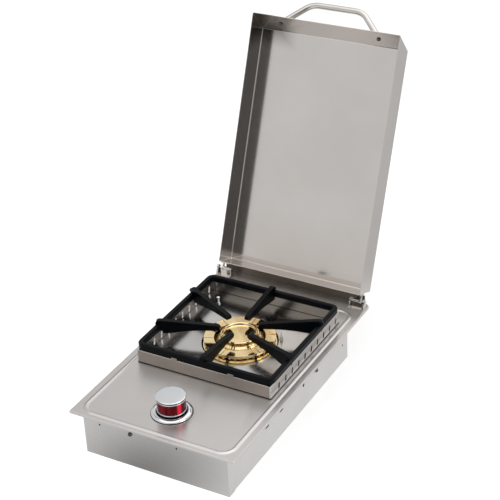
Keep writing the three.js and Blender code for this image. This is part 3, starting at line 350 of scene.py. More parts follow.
@dataclass(frozen=True)
class PaintedHighlightFinish(Finish):
    """A ring whose red glow is painted: bright spots facing given directions round it, as painted
    highlights where lamps are seen in it.

    Attributes:
        glow: the colour of the painted highlights.
        strength: the strength of the painted highlights.
        middle: the ring's middle, in the frame's metres.
        lights: the direction, spread and share of each painted highlight.
        coat: weight of its clear coat.
    """

    glow: Colour = (1, 0, 0.05)
    strength: float = 1
    middle: Point = (0, 0, 0)
    lights: tuple[tuple[Point, float, float], ...] = ()
    coat: float = 0.2

    def build(self) -> Graph:
        """Makes the material's nodes and returns them."""
        graph = super().build()
        away = graph.add("ShaderNodeVectorMath", operation="SUBTRACT")
        away.inputs[1].default_value = self.middle
        graph.link(graph.place, away.inputs[0])
        flat = graph.add("ShaderNodeVectorMath", operation="MULTIPLY")
        flat.inputs[1].default_value = (1, 1, 0)
        graph.link(away.outputs["Vector"], flat.inputs[0])
        outward = graph.add("ShaderNodeVectorMath", operation="NORMALIZE")
        graph.link(flat.outputs["Vector"], outward.inputs[0])
        level: bpy.types.NodeSocket | float = 0.0
        # Each spot facing a given direction is a painted highlight
        for towards, spread, share in self.lights:
            facing = graph.add("ShaderNodeVectorMath", operation="DOT_PRODUCT")
            facing.inputs[1].default_value = Vector(towards).normalized()
            graph.link(outward.outputs["Vector"], facing.inputs[0])
            fall = graph.add("ShaderNodeMapRange", interpolation_type="SMOOTHSTEP", To_Max=share)
            fall.inputs["From Min"].default_value = math.cos(math.radians(spread))
            graph.link(facing.outputs["Value"], fall.inputs["Value"])
            level = graph.math("ADD", fall.outputs["Result"], level)
        shine = graph.add("ShaderNodeMix", data_type="RGBA")
        graph.link(level, shine.inputs[0])
        shine.inputs[6].default_value = (0, 0, 0, 1)
        shine.inputs[7].default_value = (*self.glow, 1)
        graph.link(shine.outputs[2], graph.shader.inputs["Emission Color"])
        graph.shader.inputs["Emission Strength"].default_value = self.strength
        graph.shader.inputs["Coat Weight"].default_value = self.coat
        graph.shader.inputs["Coat Roughness"].default_value = 0.05
        return graph


# Grain directions
ALONG_X: Point = (1, 60, 60)
ALONG_Y: Point = (8, 1, 8)
EVEN: Point = (1, 1, 1)

# Darkenings: painted shade, and the lid's darker lower end
# Painted shade on the inner faces of the frame's side walls
FRAME_INSIDE_SHADE = Darkening((0, 0.07235, 0.1), (0.1369, 0.1369, 0.0148), 0.002, (0.54, 0.54, 0.54))
# Painted shade inside the box, so that the holes in its walls look black
BOX_INSIDE_SHADE = Darkening((0, 0, 0.045), (0.1426, 0.23175, 0.0444), 0.002, (0.06, 0.06, 0.06))
# Painted shade along the pan's right edge, at the foot of the frame's right wall
PAN_EDGE_SHADE = Darkening((0.128, 0.07235, 0.0915), (0.014, 0.14, 0.005), 0.4, (0.14, 0.13, 0.12))
# Painted shadow along the foot of the frame's walls, where they stand on the deck
FRAME_FOOT_SHADOW = Darkening((0, 0.07235, 0.0903), (0.2, 0.2, 0.0023), 0.25, (0.05, 0.045, 0.04))
# Painted shade round the lid's left corner at the handle wall, standing in for the dark left wall seen
# in the steel
LID_CORNER_SHADE = Darkening(tuple(LID @ Vector((-154, -500, 12))), (0.085, 0.07, 0.066), 0.8, (0.3, 0.29, 0.28))
# Warmer and darker towards the lid's lower end
LID_LOWER_DARKENING = Darkening((0, 0.31, 0.14), (0.25, 0.05, 0.16), 1, (0.94, 0.92, 0.88))

# Finishes
# Steel of the lid, with painted shade at its left corner and darker towards its lower end
STEEL = DarkenedFinish(
    "brushed_steel", Slot.BRUSHED, (0.71, 0.675, 0.65), (0.665, 0.63, 0.605),
    (0.12, 0.18), 1, 7, 14, ALONG_X, (0.003, 0.0002), 0.5, (LID_CORNER_SHADE, LID_LOWER_DARKENING),
)
DECK_STEEL = StreakFinish(
    "deck_steel", Slot.BRUSHED, (0.66, 0.635, 0.62), (0.635, 0.61, 0.59),
    (0.30, 0.33), 1, 7, 14, ALONG_X, (0.002, 0.0002), 0.5, 0.85,
)
# Steel of the frame's side walls, with painted shade inside and a painted shadow along their foot
FRAME_STEEL = DarkenedFinish(
    "frame_steel", Slot.BRUSHED, (0.66, 0.65, 0.64), (0.58, 0.57, 0.56),
    (0.14, 0.22), 1, 14, 14, ALONG_X, (0.004, 0.0002), 0.5, (FRAME_INSIDE_SHADE, FRAME_FOOT_SHADOW),
)
# Darker, warmer copy of the frame's steel for its front and back walls: the darkness is painted shade
FRAME_SHADED = DarkenedFinish(
    "frame_shaded_steel", Slot.BRUSHED, (0.42, 0.38, 0.345), (0.35, 0.315, 0.285),
    (0.14, 0.22), 1, 14, 14, ALONG_X, (0.004, 0.0002), 0.5, (FRAME_FOOT_SHADOW,),
)
SHADED_STEEL = Finish(
    "shaded_steel", Slot.BRUSHED, (0.21, 0.185, 0.155), (0.15, 0.13, 0.105),
    (0.28, 0.36), 1, 9, 14, ALONG_X, (0.006, 0.0002),
)
SCREW_STEEL = Finish(
    "screw_steel", Slot.POLISHED, (0.17, 0.165, 0.16), (0.12, 0.115, 0.11),
    (0.12, 0.2), 1, 30, 90, EVEN, (0.01, 0.0001),
)
BAR_STEEL = Finish(
    "bar_steel", Slot.POLISHED, (0.68, 0.65, 0.62), (0.58, 0.55, 0.52),
    (0.08, 0.13), 1, 30, 90, EVEN, (0.01, 0.0001),
)
# Steel of the box, with painted shade inside it
BOX_STEEL = DarkenedFinish(
    "box_steel", Slot.BOX, (0.62, 0.61, 0.60), (0.57, 0.56, 0.55),
    (0.26, 0.34), 1, 7, 14, ALONG_X, (0.004, 0.0002), 0.5, (BOX_INSIDE_SHADE,),
)
INNER_STEEL = Finish(
    "inner_steel", Slot.BOX, (0.58, 0.57, 0.56), (0.50, 0.49, 0.48),
    (0.26, 0.36), 1, 20, 40, ALONG_X, (0.006, 0.0002),
)
CHROME = Finish(
    "chrome", Slot.POLISHED, (0.76, 0.78, 0.80), (0.72, 0.74, 0.76),
    (0.04, 0.09), 1, 30, 90, EVEN, (0.01, 0.0001),
)
# Steel of the pan, with painted shade along its right edge
PAN_STEEL = DarkenedFinish(
    "pan_steel", Slot.POLISHED, (0.64, 0.625, 0.61), (0.54, 0.525, 0.51),
    (0.15, 0.21), 1, 12, 30, ALONG_Y, (0.001, 0.0002), 0.5, (PAN_EDGE_SHADE,),
)
BRASS = Finish(
    "brass", Slot.BRASS, (0.97, 0.80, 0.49), (0.88, 0.67, 0.34),
    (0.07, 0.14), 1, 40, 260, EVEN, (0.01, 0.0002),
)
IRON = Finish(
    "cast_iron", Slot.IRON, (0.0004, 0.0010, 0.0020), (0.0014, 0.0022, 0.0034),
    (0.30, 0.40), 0, 60, 900, EVEN, (0.16, 0.0002), 0.11,
)
CAST_ALUMINIUM = Finish(
    "cast_aluminium", Slot.ALUMINIUM, (0.42, 0.43, 0.44), (0.30, 0.31, 0.32),
    (0.5, 0.7), 1, 40, 700, EVEN, (0.4, 0.0004),
)
VALVE_BRASS = Finish(
    "valve_brass", Slot.VALVE, (0.62, 0.45, 0.2), (0.5, 0.34, 0.14),
    (0.3, 0.45), 1, 60, 300, EVEN, (0.1, 0.0002),
)
BLACK = Finish(
    "black_plastic", Slot.BLACK, (0.006, 0.006, 0.007), (0.012, 0.012, 0.013),
    (0.4, 0.55), 0, 60, 1200, EVEN, (0.2, 0.0002), 0.3,
)
CERAMIC = Finish(
    "ceramic", Slot.CERAMIC, (0.82, 0.8, 0.74), (0.72, 0.69, 0.62),
    (0.3, 0.45), 0, 80, 500, EVEN, (0.05, 0.0001),
)
RUBBER = Finish(
    "rubber", Slot.RUBBER, (0.014, 0.014, 0.015), (0.024, 0.024, 0.025),
    (0.6, 0.8), 0, 80, 900, EVEN, (0.2, 0.0002), 0.3,
)
# The red band's glow is painted highlights: bright spots round it where lamps are seen in it
RED_BAND = PaintedHighlightFinish(
    "red_band", Slot.RED, (0.10, 0.0002, 0.004), (0.05, 0.0001, 0.002),
    (0.06, 0.10), 0, 60, 200, EVEN, (0.01, 0.0001), 0.1, (0.9, 0.008, 0.05), 0.72, KNOB_MIDDLE,
    (
        ((0.90, -0.46, 0), 11, 1), ((0.97, -0.30, 0), 6, 0.35), ((-0.1, -1, 0), 15, 0.14),
        ((-0.72, -0.69, 0), 18, 0.2), ((0.4, -0.92, 0), 8, 0.08),
    ), 0.1,
)


@dataclass(frozen=True)
class Wardrobe:
    """The finishes, each made into a material once."""

    made: dict[str, bpy.types.Material]

    def material(self, finish: Finish) -> bpy.types.Material:
        """Returns a finish's material, which is made at its first use."""
        if finish.name not in self.made:
            self.made[finish.name] = finish.build().material
        return self.made[finish.name]


WARDROBE = Wardrobe({})


def each_once(items: Iterable[Element]) -> list[Element]:
    """Lists elements once each, in the order in which they come."""
    return list(dict.fromkeys(items))


def put_in_order(
    items: bmesh.types.BMVertSeq | bmesh.types.BMEdgeSeq | bmesh.types.BMFaceSeq,
    key: Callable[[Element], Sequence[float]],
) -> None:
    """Sorts one kind of a mesh's elements.

    Args:
        items: the mesh's vertices, edges or faces.
        key: what they are sorted by.
    """
    for number, item in enumerate(sorted(items, key=key)):
        item.index = number
    items.sort()


def settle(bm: bmesh.types.BMesh) -> None:
    """Builds a mesh's faces anew in the order of their places.

    Spinning and extruding leave them in an order that differs from run to run, which changes what
    rounding does at corners. Layers and loose edges are lost.
    """
    put_in_order(bm.verts, lambda vert: [round(value, PLACES) for value in vert.co])
    put_in_order(bm.faces, lambda face: sorted(vert.index for vert in face.verts))
    part = bmesh.new()
    verts = [part.verts.new(vert.co) for vert in bm.verts]
    for face in bm.faces:
        corners = [vert.index for vert in face.verts]
        first = corners.index(min(corners))
        part.faces.new([verts[number] for number in corners[first:] + corners[:first]])
    bm.clear()
    merge_into(bm, part)


def bare_faces(bm: bmesh.types.BMesh, before: set[bmesh.types.BMFace]) -> Edges:
    """Takes away the faces that are new since before, and keeps their edges.

    Args:
        bm: the mesh.
        before: the faces that stay.

    Returns:
        The edges of the faces taken away.
    """
    fresh = [face for face in bm.faces if face not in before]
    edges = each_once(edge for face in fresh for edge in face.edges)
    bmesh.ops.delete(bm, geom=fresh, context="FACES_ONLY")
    return edges


def rounded_loop(
    bm: bmesh.types.BMesh, size: tuple[float, float], radius: float, centre: Point, steps: int = 8,
    back_radius: float = 0,
) -> Edges:
    """Adds the outline of a rectangle with round corners, lying flat.

    Args:
        bm: the mesh to add to.
        size: width and depth.
        radius: radius of the corners.
        centre: middle of the rectangle.
        steps: edges to each corner.
        back_radius: radius of the back corners where it differs.

    Returns:
        The outline's edges.
    """
    before = set(bm.faces)
    verts = bmesh.ops.create_grid(bm, x_segments=1, y_segments=1, size=0.5)["verts"]
    bmesh.ops.scale(bm, vec=(size[0], size[1], 1), verts=verts)
    bmesh.ops.translate(bm, vec=centre, verts=verts)
    front = [vert for vert in verts if vert.co.y < centre[1]]
    back = [vert for vert in verts if vert.co.y > centre[1]]
    for corners, reach in ((front, radius), (back, back_radius or radius)):
        bmesh.ops.bevel(
            bm, geom=corners, offset=reach, offset_type="OFFSET", segments=steps, profile=0.5,
            affect="VERTICES", material=-1,
        )
    return bare_faces(bm, before)


def round_loop(bm: bmesh.types.BMesh, radius: float, centre: Point, steps: int) -> Edges:
    """Adds a circle, lying flat, and returns its edges."""
    verts = bmesh.ops.create_circle(bm, cap_ends=False, radius=radius, segments=steps)["verts"]
    bmesh.ops.translate(bm, vec=centre, verts=verts)
    return each_once(edge for vert in verts for edge in vert.link_edges)


def skin(bm: bmesh.types.BMesh, loops: Sequence[Edges]) -> None:
    """Joins each outline to the next with faces.

    The next outline is lifted off while it is joined, so that outlines on one level don't cross over.
    """
    for first, second in zip(loops, loops[1:]):
        verts = each_once(vert for edge in second for vert in edge.verts)
        bmesh.ops.translate(bm, vec=(0, 0, SKIN_LIFT), verts=verts)
        bmesh.ops.bridge_loops(bm, edges=first + second)
        bmesh.ops.translate(bm, vec=(0, 0, -SKIN_LIFT), verts=verts)


def fill(bm: bmesh.types.BMesh, edges: Edges) -> None:
    """Fills the flat area between outlines."""
    bmesh.ops.triangle_fill(bm, use_beauty=True, use_dissolve=False, edges=edges)


def outline_face(bm: bmesh.types.BMesh, points: Iterable[Point]) -> bmesh.types.BMFace:
    """Adds one flat face through a few points."""
    return bm.faces.new([bm.verts.new(point) for point in points])


def turn(bm: bmesh.types.BMesh, profile: Profile, steps: int) -> None:
    """Spins a profile of radius and height about Z.

    Args:
        bm: the mesh to add to.
        profile: the points of the profile, closed unless it starts on the axis.
        steps: steps of the full turn.
    """
    verts = [bm.verts.new((radius, 0, height)) for radius, height in profile]
    pairs = list(zip(verts, verts[1:]))
    if profile[0][0] > 0:
        pairs.append((verts[-1], verts[0]))
    edges = [bm.edges.new(pair) for pair in pairs]
    bmesh.ops.spin(
        bm, geom=verts + edges, cent=(0, 0, 0), axis=(0, 0, 1), dvec=(0, 0, 0),
        angle=math.tau, steps=steps, use_merge=True, use_duplicate=False,
    )
    bmesh.ops.remove_doubles(bm, verts=bm.verts, dist=MERGE)


def soften(bm: bmesh.types.BMesh, width: float, segments: int = 2, angle: float = 32) -> None:
    """Rounds the sharp edges of a closed mesh.

    Args:
        bm: the mesh.
        width: how far the rounding reaches.
        segments: faces across it.
        angle: the angle in degrees above which an edge is sharp.
    """
    limit = math.radians(angle)
    sharp = [edge for edge in bm.edges if edge.is_manifold and edge.calc_face_angle(0) > limit]
    bmesh.ops.bevel(
        bm, geom=sharp, offset=width, offset_type="OFFSET", segments=segments, profile=0.5,
        affect="EDGES", clamp_overlap=True, material=-1,
    )


def add_block(bm: bmesh.types.BMesh, low: Point, high: Point, edge: float, segments: int = 2) -> None:
    """Adds a block between two corners with its edges rounded."""
    part = bmesh.new()
    verts = bmesh.ops.create_cube(part, size=1)["verts"]
    size = [high[i] - low[i] for i in range(3)]
    middle = [(high[i] + low[i]) / 2 for i in range(3)]
    bmesh.ops.scale(part, vec=size, verts=verts)
    bmesh.ops.translate(part, vec=middle, verts=verts)
    soften(part, edge, segments)
    merge_into(bm, part)


def merge_into(bm: bmesh.types.BMesh, part: bmesh.types.BMesh, matrix: Matrix | None = None) -> None:
    """Adds one mesh to another and frees it.

    Args:
        bm: the mesh to add to.
        part: the mesh that is added.
        matrix: where it goes, or None where it is.
    """
    if matrix is not None:
        part.transform(matrix)
    carrier = bpy.data.meshes.new("carrier")
    part.to_mesh(carrier)
    part.free()
    bm.from_mesh(carrier)
    bpy.data.meshes.remove(carrier)


@dataclass(frozen=True)
class Sheeting:
    """How an open surface gets its thickness.

    Attributes:
        thickness: the sheet's thickness.
        edge: how far its cut edges are rounded.
    """

    thickness: float = SHEET
    edge: float = 0.25


def finish_piece(
    bm: bmesh.types.BMesh,
    name: str,
    finish: Finish,
    body: Body,
    nodes: Sequence[str],
    place: Matrix = DECK,
    sheeting: Sheeting | None = None,
) -> bpy.types.Object:
    """Makes an object of a mesh, dresses it and lets it ride on a body.

    Args:
        bm: the mesh, which is freed.
        name: the piece's name.
        finish: its finish.
        body: the body it rides on.
        nodes: the CAD nodes it stands for.
        place: from its own millimetres to the frame's metres.
        sheeting: its thickness if it is an open sheet.

    Returns:
        The object.
    """
    if sheeting is None:
        settle(bm)
        bmesh.ops.recalc_face_normals(bm, faces=bm.faces)
    bm.transform(place)
    for face in bm.faces:
        face.smooth = True
    mesh = bpy.data.meshes.new(name)
    bm.to_mesh(mesh)
    bm.free()
    piece = bpy.data.objects.new(name, mesh)
    bpy.context.scene.collection.objects.link(piece)
    mesh.materials.append(WARDROBE.material(finish))
    if sheeting is not None:
        solid = piece.modifiers.new("thickness", "SOLIDIFY")
        solid.thickness = sheeting.thickness / MILLI
        solid.offset = -1
        solid.use_even_offset = True
        round_edges(piece, sheeting.edge, SHEET_FOLD)
    weigh_normals(piece)
    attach(piece, body.value)
    if nodes:
        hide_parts(*nodes)
    LOG.info("%s: %d faces", name, len(mesh.polygons))
    return piece


def round_edges(piece: bpy.types.Object, edge: float, fold: float) -> None:
    """Rounds a piece's edges.

    Args:
        piece: the piece.
        edge: how far the rounding reaches.
        fold: the angle above which an edge is rounded.
    """
    rounding = piece.modifiers.new("edges", "BEVEL")
    rounding.width = edge / MILLI
    rounding.segments = 2
    rounding.limit_method = "ANGLE"
    rounding.angle_limit = fold


def weigh_normals(piece: bpy.types.Object) -> None:
    """Keeps a piece's flat faces flat beside its rounded edges."""
    weighing = piece.modifiers.new("normals", "WEIGHTED_NORMAL")
    weighing.keep_sharp = True
    weighing.weight = 100


def dress_node(node: str, finish: Finish, edge: float = 0.3) -> None:
    """Gives a CAD node its finish and rounds its edges.

    Args:
        node: the node's name.
        finish: its finish.
        edge: how far its sharp edges are rounded.
    """
    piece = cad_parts[node]
    piece.data.materials.clear()
    piece.data.materials.append(WARDROBE.material(finish))
    weld = piece.modifiers.new("weld", "WELD")
    weld.merge_threshold = 1e-5
    if edge > 0:
        round_edges(piece, edge, NODE_FOLD)
    weigh_normals(piece)
    LOG.info("%s: dressed", node)


@dataclass(frozen=True)
class Deck:
    """The flanged top plate with its lip and pressed bead.

    Attributes:
        width: its width.
        depth: its depth.
        corner: radius of its front corners.
        back_corner: radius of its back corners.
        upstand: half the length and the height of its upstand at the back.
        upstand_edge: how far the upstand's edges are rounded.
        lip: height of its turned-down lip.
        fold: radius of the fold into the lip.
        bead_width: width of the bead.
        bead_height: height of the bead.
        bead_side: from the side edges to the bead.
        bead_front: from the front edge to the bead.
        bead_back: from the back edge to the bead.
        bead_corner: outer radius of the bead's corners.
        bead_profile: shares of the bead's width and height across it.
        burner_hole: radius of the burner's hole.
        knob_hole: radius of the knob's hole.
        igniter_hole: radius of the igniter's hole.
        hole_steps: steps of the circles of these three holes.
        fold_steps: faces across the fold into the lip.
    """

    width: float = 330
    depth: float = 537
    corner: float = 3
    back_corner: float = 12
    upstand: tuple[float, float] = (153, 17)
    upstand_edge: float = 0.3
    lip: float = 4
    fold: float = 1.6
    bead_width: float = 9
    bead_height: float = 1.6
    bead_side: float = 12
    bead_front: float = 7.5
    bead_back: float = 39
    bead_corner: float = 28
    bead_profile: Profile = (
        (0, 0), (0.06, 0.06), (0.16, 0.28), (0.28, 0.6), (0.4, 0.86), (0.52, 0.98), (0.62, 1),
        (0.72, 0.9), (0.8, 0.66), (0.87, 0.34), (0.93, 0.1), (1, 0),
    )
    burner_hole: float = 71.5
    knob_hole: float = 12
    igniter_hole: float = 5.1
    hole_steps: tuple[int, int, int] = (96, 32, 24)
    fold_steps: int = 5

    def build(self) -> None:
        """Builds the deck's one sheet."""
        bm = bmesh.new()
        loops = [self.edge_loop(bm, 0, -self.lip)]
        for step in range(self.fold_steps + 1):
            angle = math.pi / 2 * step / self.fold_steps
            inset = self.fold * (1 - math.cos(angle))
            loops.append(self.edge_loop(bm, inset, self.fold * (math.sin(angle) - 1)))
        for share, rise in self.bead_profile:
            loops.append(self.bead_loop(bm, self.bead_width * share, self.bead_height * rise))
        skin(bm, loops)
        burner_steps, knob_steps, igniter_steps = self.hole_steps
        holes = round_loop(bm, self.burner_hole, (0, BURNER_Y, 0), burner_steps)
        holes += round_loop(bm, self.knob_hole, (0, KNOB_Y, 0), knob_steps)
        holes += round_loop(bm, self.igniter_hole, (*IGNITER, 0), igniter_steps)
        fill(bm, loops[-1] + holes)
        face_up(bm)
        lay_grain(bm)
        finish_piece(bm, "deck_sheet", DECK_STEEL, Body.BASE, ["deck"], sheeting=Sheeting())
        self.build_upstand()

    def build_upstand(self) -> None:
        """Builds the upstand at the deck's back edge, between the hinges."""
        bm = bmesh.new()
        half, height = self.upstand
        low = (-half, self.depth - SHEET, -SHEET)
        add_block(bm, low, (half, self.depth, height), self.upstand_edge)
        finish_piece(bm, "deck_upstand", SHADED_STEEL, Body.BASE, [])

    def edge_loop(self, bm: bmesh.types.BMesh, inset: float, z: float) -> Edges:
        """Adds the outline of the deck's edge at an inset and a height."""
        size = (self.width - 2 * inset, self.depth - 2 * inset)
        radii = (self.corner - inset, self.back_corner - inset)
        return rounded_loop(bm, size, radii[0], (0, self.depth / 2, z), back_radius=radii[1])

    def bead_loop(self, bm: bmesh.types.BMesh, inset: float, z: float) -> Edges:
        """Adds the outline of the bead at a reach from its outer foot and a height."""
        width = self.width - 2 * (self.bead_side + inset)
        depth = self.depth - self.bead_front - self.bead_back - 2 * inset
        middle = (self.depth + self.bead_front - self.bead_back) / 2
        return rounded_loop(bm, (width, depth), self.bead_corner - inset, (0, middle, z))


def lay_grain(bm: bmesh.types.BMesh) -> None:
    """Lays out the grain of a sheet from above."""
    layer = bm.loops.layers.uv.new(GRAIN_MAP)
    for face in bm.faces:
        for loop in face.loops:
            loop[layer].uv = loop.vert.co.xy / GRAIN_UNIT


def face_up(bm: bmesh.types.BMesh) -> None:
    """Turns the faces of an open sheet so that its top looks up."""
    bmesh.ops.recalc_face_normals(bm, faces=bm.faces)
    bm.faces.ensure_lookup_table()
    lean = sum(face.normal.z * face.calc_area() for face in bm.faces)
    if lean < 0:
        bmesh.ops.reverse_faces(bm, faces=bm.faces)


@dataclass(frozen=True)
class FrameWall:
    """One folded wall of the burner's frame, seen along its outer face.

    It is built with its length along x, its outer face on y = 0 and its inside towards +y.

    Attributes:
        name: the piece's name.
        node: the CAD node it stands for.
        length: its length.
        place: where its middle goes.
        turn: how far it turns about Z, in degrees.
        finish: its finish.
        slots: places of its slots along it.
        returns: how far its ends wrap round the corners.
        flange: width of its top flange.
        tabs: places of the tabs on its top edge.
        height: its height.
        roll: radius of its top fold.
        slot_size: width and length of a slot.
        slot_height: height of the slots' middle.
        slot_lean: how far the slots lean, in degrees.
        tab_size: width and height of a tab.
        tab_root: how far a tab reaches down into the wall.
        tab_inset: how far a tab stands back from the outer face.
        edge: how far its cut edges are rounded.
    """

    name: str
    node: str
    length: float
    place: Point
    turn: float
    finish: Finish
    slots: tuple[float, ...] = ()
    returns: float = 0
    flange: float = 6
    tabs: tuple[float, ...] = ()
    height: float = 26.4
    roll: float = 1.8
    slot_size: tuple[float, float] = (5.4, 14)
    slot_height: float = 10
    slot_lean: float = 9
    tab_size: tuple[float, float] = (12, 4)
    tab_root: float = 2
    tab_inset: float = 0.02
    edge: float = 0.3

    def build(self) -> None:
        """Builds the wall's sheet and its tabs."""
        bm = bmesh.new()
        low = SEAM
        top = self.height - self.roll
        half = self.length / 2
        before = set(bm.faces)
        outline_face(bm, [(-half, 0, low), (half, 0, low), (half, 0, top), (-half, 0, top)])
        edges = bare_faces(bm, before)
        upper = [edge for edge in edges if all(vert.co.z > top - 0.1 for vert in edge.verts)]
        ends = [edge for edge in edges if abs(edge.verts[0].co.x - edge.verts[1].co.x) < 0.1]
        for place in self.slots:
            edges += self.slot_loop(bm, place)
        fill(bm, edges)
        self.fold(bm, upper, (0, self.roll, top), (1, 0, 0), -90, (0, self.flange - self.roll, 0))
        if self.returns > 0:
            for edge in ends:
                side = 1 if edge.verts[0].co.x > 0 else -1
                pivot = (side * half - side * self.roll, self.roll, 0)
                self.wrap(bm, edge, side, pivot)
        bmesh.ops.recalc_face_normals(bm, faces=bm.faces)
        outward = sum(face.normal.y * face.calc_area() for face in bm.faces)
        if outward > 0:
            bmesh.ops.reverse_faces(bm, faces=bm.faces)
        turned = Matrix.Rotation(math.radians(self.turn), 4, "Z")
        place = DECK @ Matrix.Translation(self.place) @ turned
        sheeting = Sheeting(SHEET, self.edge)
        finish_piece(bm, self.name, self.finish, Body.BASE, [self.node], place, sheeting)
        for number, tab in enumerate(self.tabs):
            self.tab(number, tab, place)

    def slot_loop(self, bm: bmesh.types.BMesh, place: float) -> Edges:
        """Adds the outline of a leaning slot."""
        width, length = self.slot_size
        verts = bmesh.ops.create_circle(bm, cap_ends=False, radius=width / 2, segments=20)["verts"]
        reach = (length - width) / 2
        for vert in verts:
            vert.co.y += reach if vert.co.y > 0 else -reach
        lean = math.radians(-self.slot_lean if self.turn > 0 else self.slot_lean)
        matrix = Matrix.Rotation(math.pi / 2, 4, "X") @ Matrix.Rotation(lean, 4, "Z")
        bmesh.ops.transform(bm, matrix=matrix, verts=verts)
        bmesh.ops.translate(bm, vec=(place, 0, self.slot_height), verts=verts)
        return each_once(edge for vert in verts for edge in vert.link_edges)

    @staticmethod
    def fold(
        bm: bmesh.types.BMesh, edges: Edges, pivot: Point, axis: Point, angle: float, run: Point
    ) -> None:
        """Folds edges about an axis and runs them on.

        Args:
            bm: the mesh.
            edges: the edges that are folded.
            pivot: a point of the axis.
            axis: the axis.
            angle: the fold in degrees.
            run: how far the sheet runs on after the fold.
        """
        verts = each_once(vert for edge in edges for vert in edge.verts)
        folded = bmesh.ops.spin(
            bm, geom=verts + edges, cent=pivot, axis=axis, dvec=(0, 0, 0),
            angle=math.radians(angle), steps=5, use_merge=False, use_duplicate=False,
        )["geom_last"]
        last = [item for item in folded if isinstance(item, bmesh.types.BMEdge)]
        moved = bmesh.ops.extrude_edge_only(bm, edges=last)["geom"]
        ends = [item for item in moved if isinstance(item, bmesh.types.BMVert)]
        bmesh.ops.translate(bm, vec=run, verts=ends)

    def wrap(self, bm: bmesh.types.BMesh, edge: bmesh.types.BMEdge, side: int, pivot: Point) -> None:
        """Wraps one end of the wall round the corner."""
        verts = list(edge.verts)
        bmesh.ops.translate(bm, vec=(-side * self.roll, 0, 0), verts=verts)
        run = (0, self.returns - self.roll, 0)
        self.fold(bm, [edge], pivot, (0, 0, 1), side * 90, run)

    def tab(self, number: int, place: float, matrix: Matrix) -> None:
        """Builds one upright tab on the wall's top edge."""
        bm = bmesh.new()
        half = self.tab_size[0] / 2
        low = (place - half, self.tab_inset, self.height - self.tab_root)
        add_block(bm, low, (place + half, SHEET, self.height + self.tab_size[1]), 0.35)
        finish_piece(bm, f"{self.name}_tab_{number}", self.finish, Body.BASE, [], matrix)


@dataclass(frozen=True)
class BurnerFrame:
    """The low folded frame round the burner, with its polished pan.

    Attributes:
        width: its width.
        front: where its front face stands.
        depth: its depth.
        returned: how far the side walls wrap round the corners.
        first_slot: from the front face to the first slot.
        slot_pitch: from slot to slot.
        slot_count: slots in each side wall.
        tab_reach: from the middle to each tab.
        pan_top: height of the pan's face.
        pan_hole: radius of the pan's hole.
        pan_corner: radius of the pan's corners.
        igniter_hole: radius of the igniter's hole in the pan.
    """

    width: float = 275
    front: float = 180
    depth: float = 275
    returned: float = 3.4
    first_slot: float = 32.5
    slot_pitch: float = 25.2
    slot_count: int = 10
    tab_reach: float = 58
    pan_top: float = 1.5
    pan_hole: float = 72
    pan_corner: float = 1.5
    igniter_hole: float = 3.5

    def build(self) -> None:
        """Builds the walls and the pan."""
        middle = self.front + self.depth / 2
        start = self.first_slot - self.depth / 2
        slots = tuple(start + i * self.slot_pitch for i in range(self.slot_count))
        back_slots = tuple(-place for place in slots)
        span = self.width - 2 * (self.returned + SEAM)
        half = self.width / 2
        tabs = (-self.tab_reach, self.tab_reach)
        back = self.front + self.depth
        FrameWall(
            "frame_front", "frame_front_wall", span, (0, self.front, 0), 0, FRAME_SHADED, tabs=tabs
        ).build()
        FrameWall("frame_back", "frame_back_wall", span, (0, back, 0), 180, FRAME_SHADED).build()
        FrameWall(
            "frame_right", "frame_right_wall", self.depth, (half, middle, 0), 90, FRAME_STEEL,
            slots, self.returned,
        ).build()
        FrameWall(
            "frame_left", "frame_left_wall", self.depth, (-half, middle, 0), -90, FRAME_STEEL,
            back_slots, self.returned,
        ).build()
        self.build_pan()

    def build_pan(self) -> None:
        """Builds the polished pan with its hole."""
        bm = bmesh.new()
        inset = 2 * (SHEET + SEAM)
        middle = self.front + self.depth / 2
        size = (self.width - inset, self.depth - inset)
        edges = rounded_loop(bm, size, self.pan_corner, (0, middle, self.pan_top), 3)
        edges += round_loop(bm, self.pan_hole, (0, BURNER_Y, self.pan_top), 96)
        edges += round_loop(bm, self.igniter_hole, (*IGNITER, self.pan_top), 20)
        fill(bm, edges)
        face_up(bm)
        finish_piece(bm, "pan_sheet", PAN_STEEL, Body.BASE, ["drip_pan"], sheeting=Sheeting())
        dress_node("pan_stud", CHROME, 0.35)


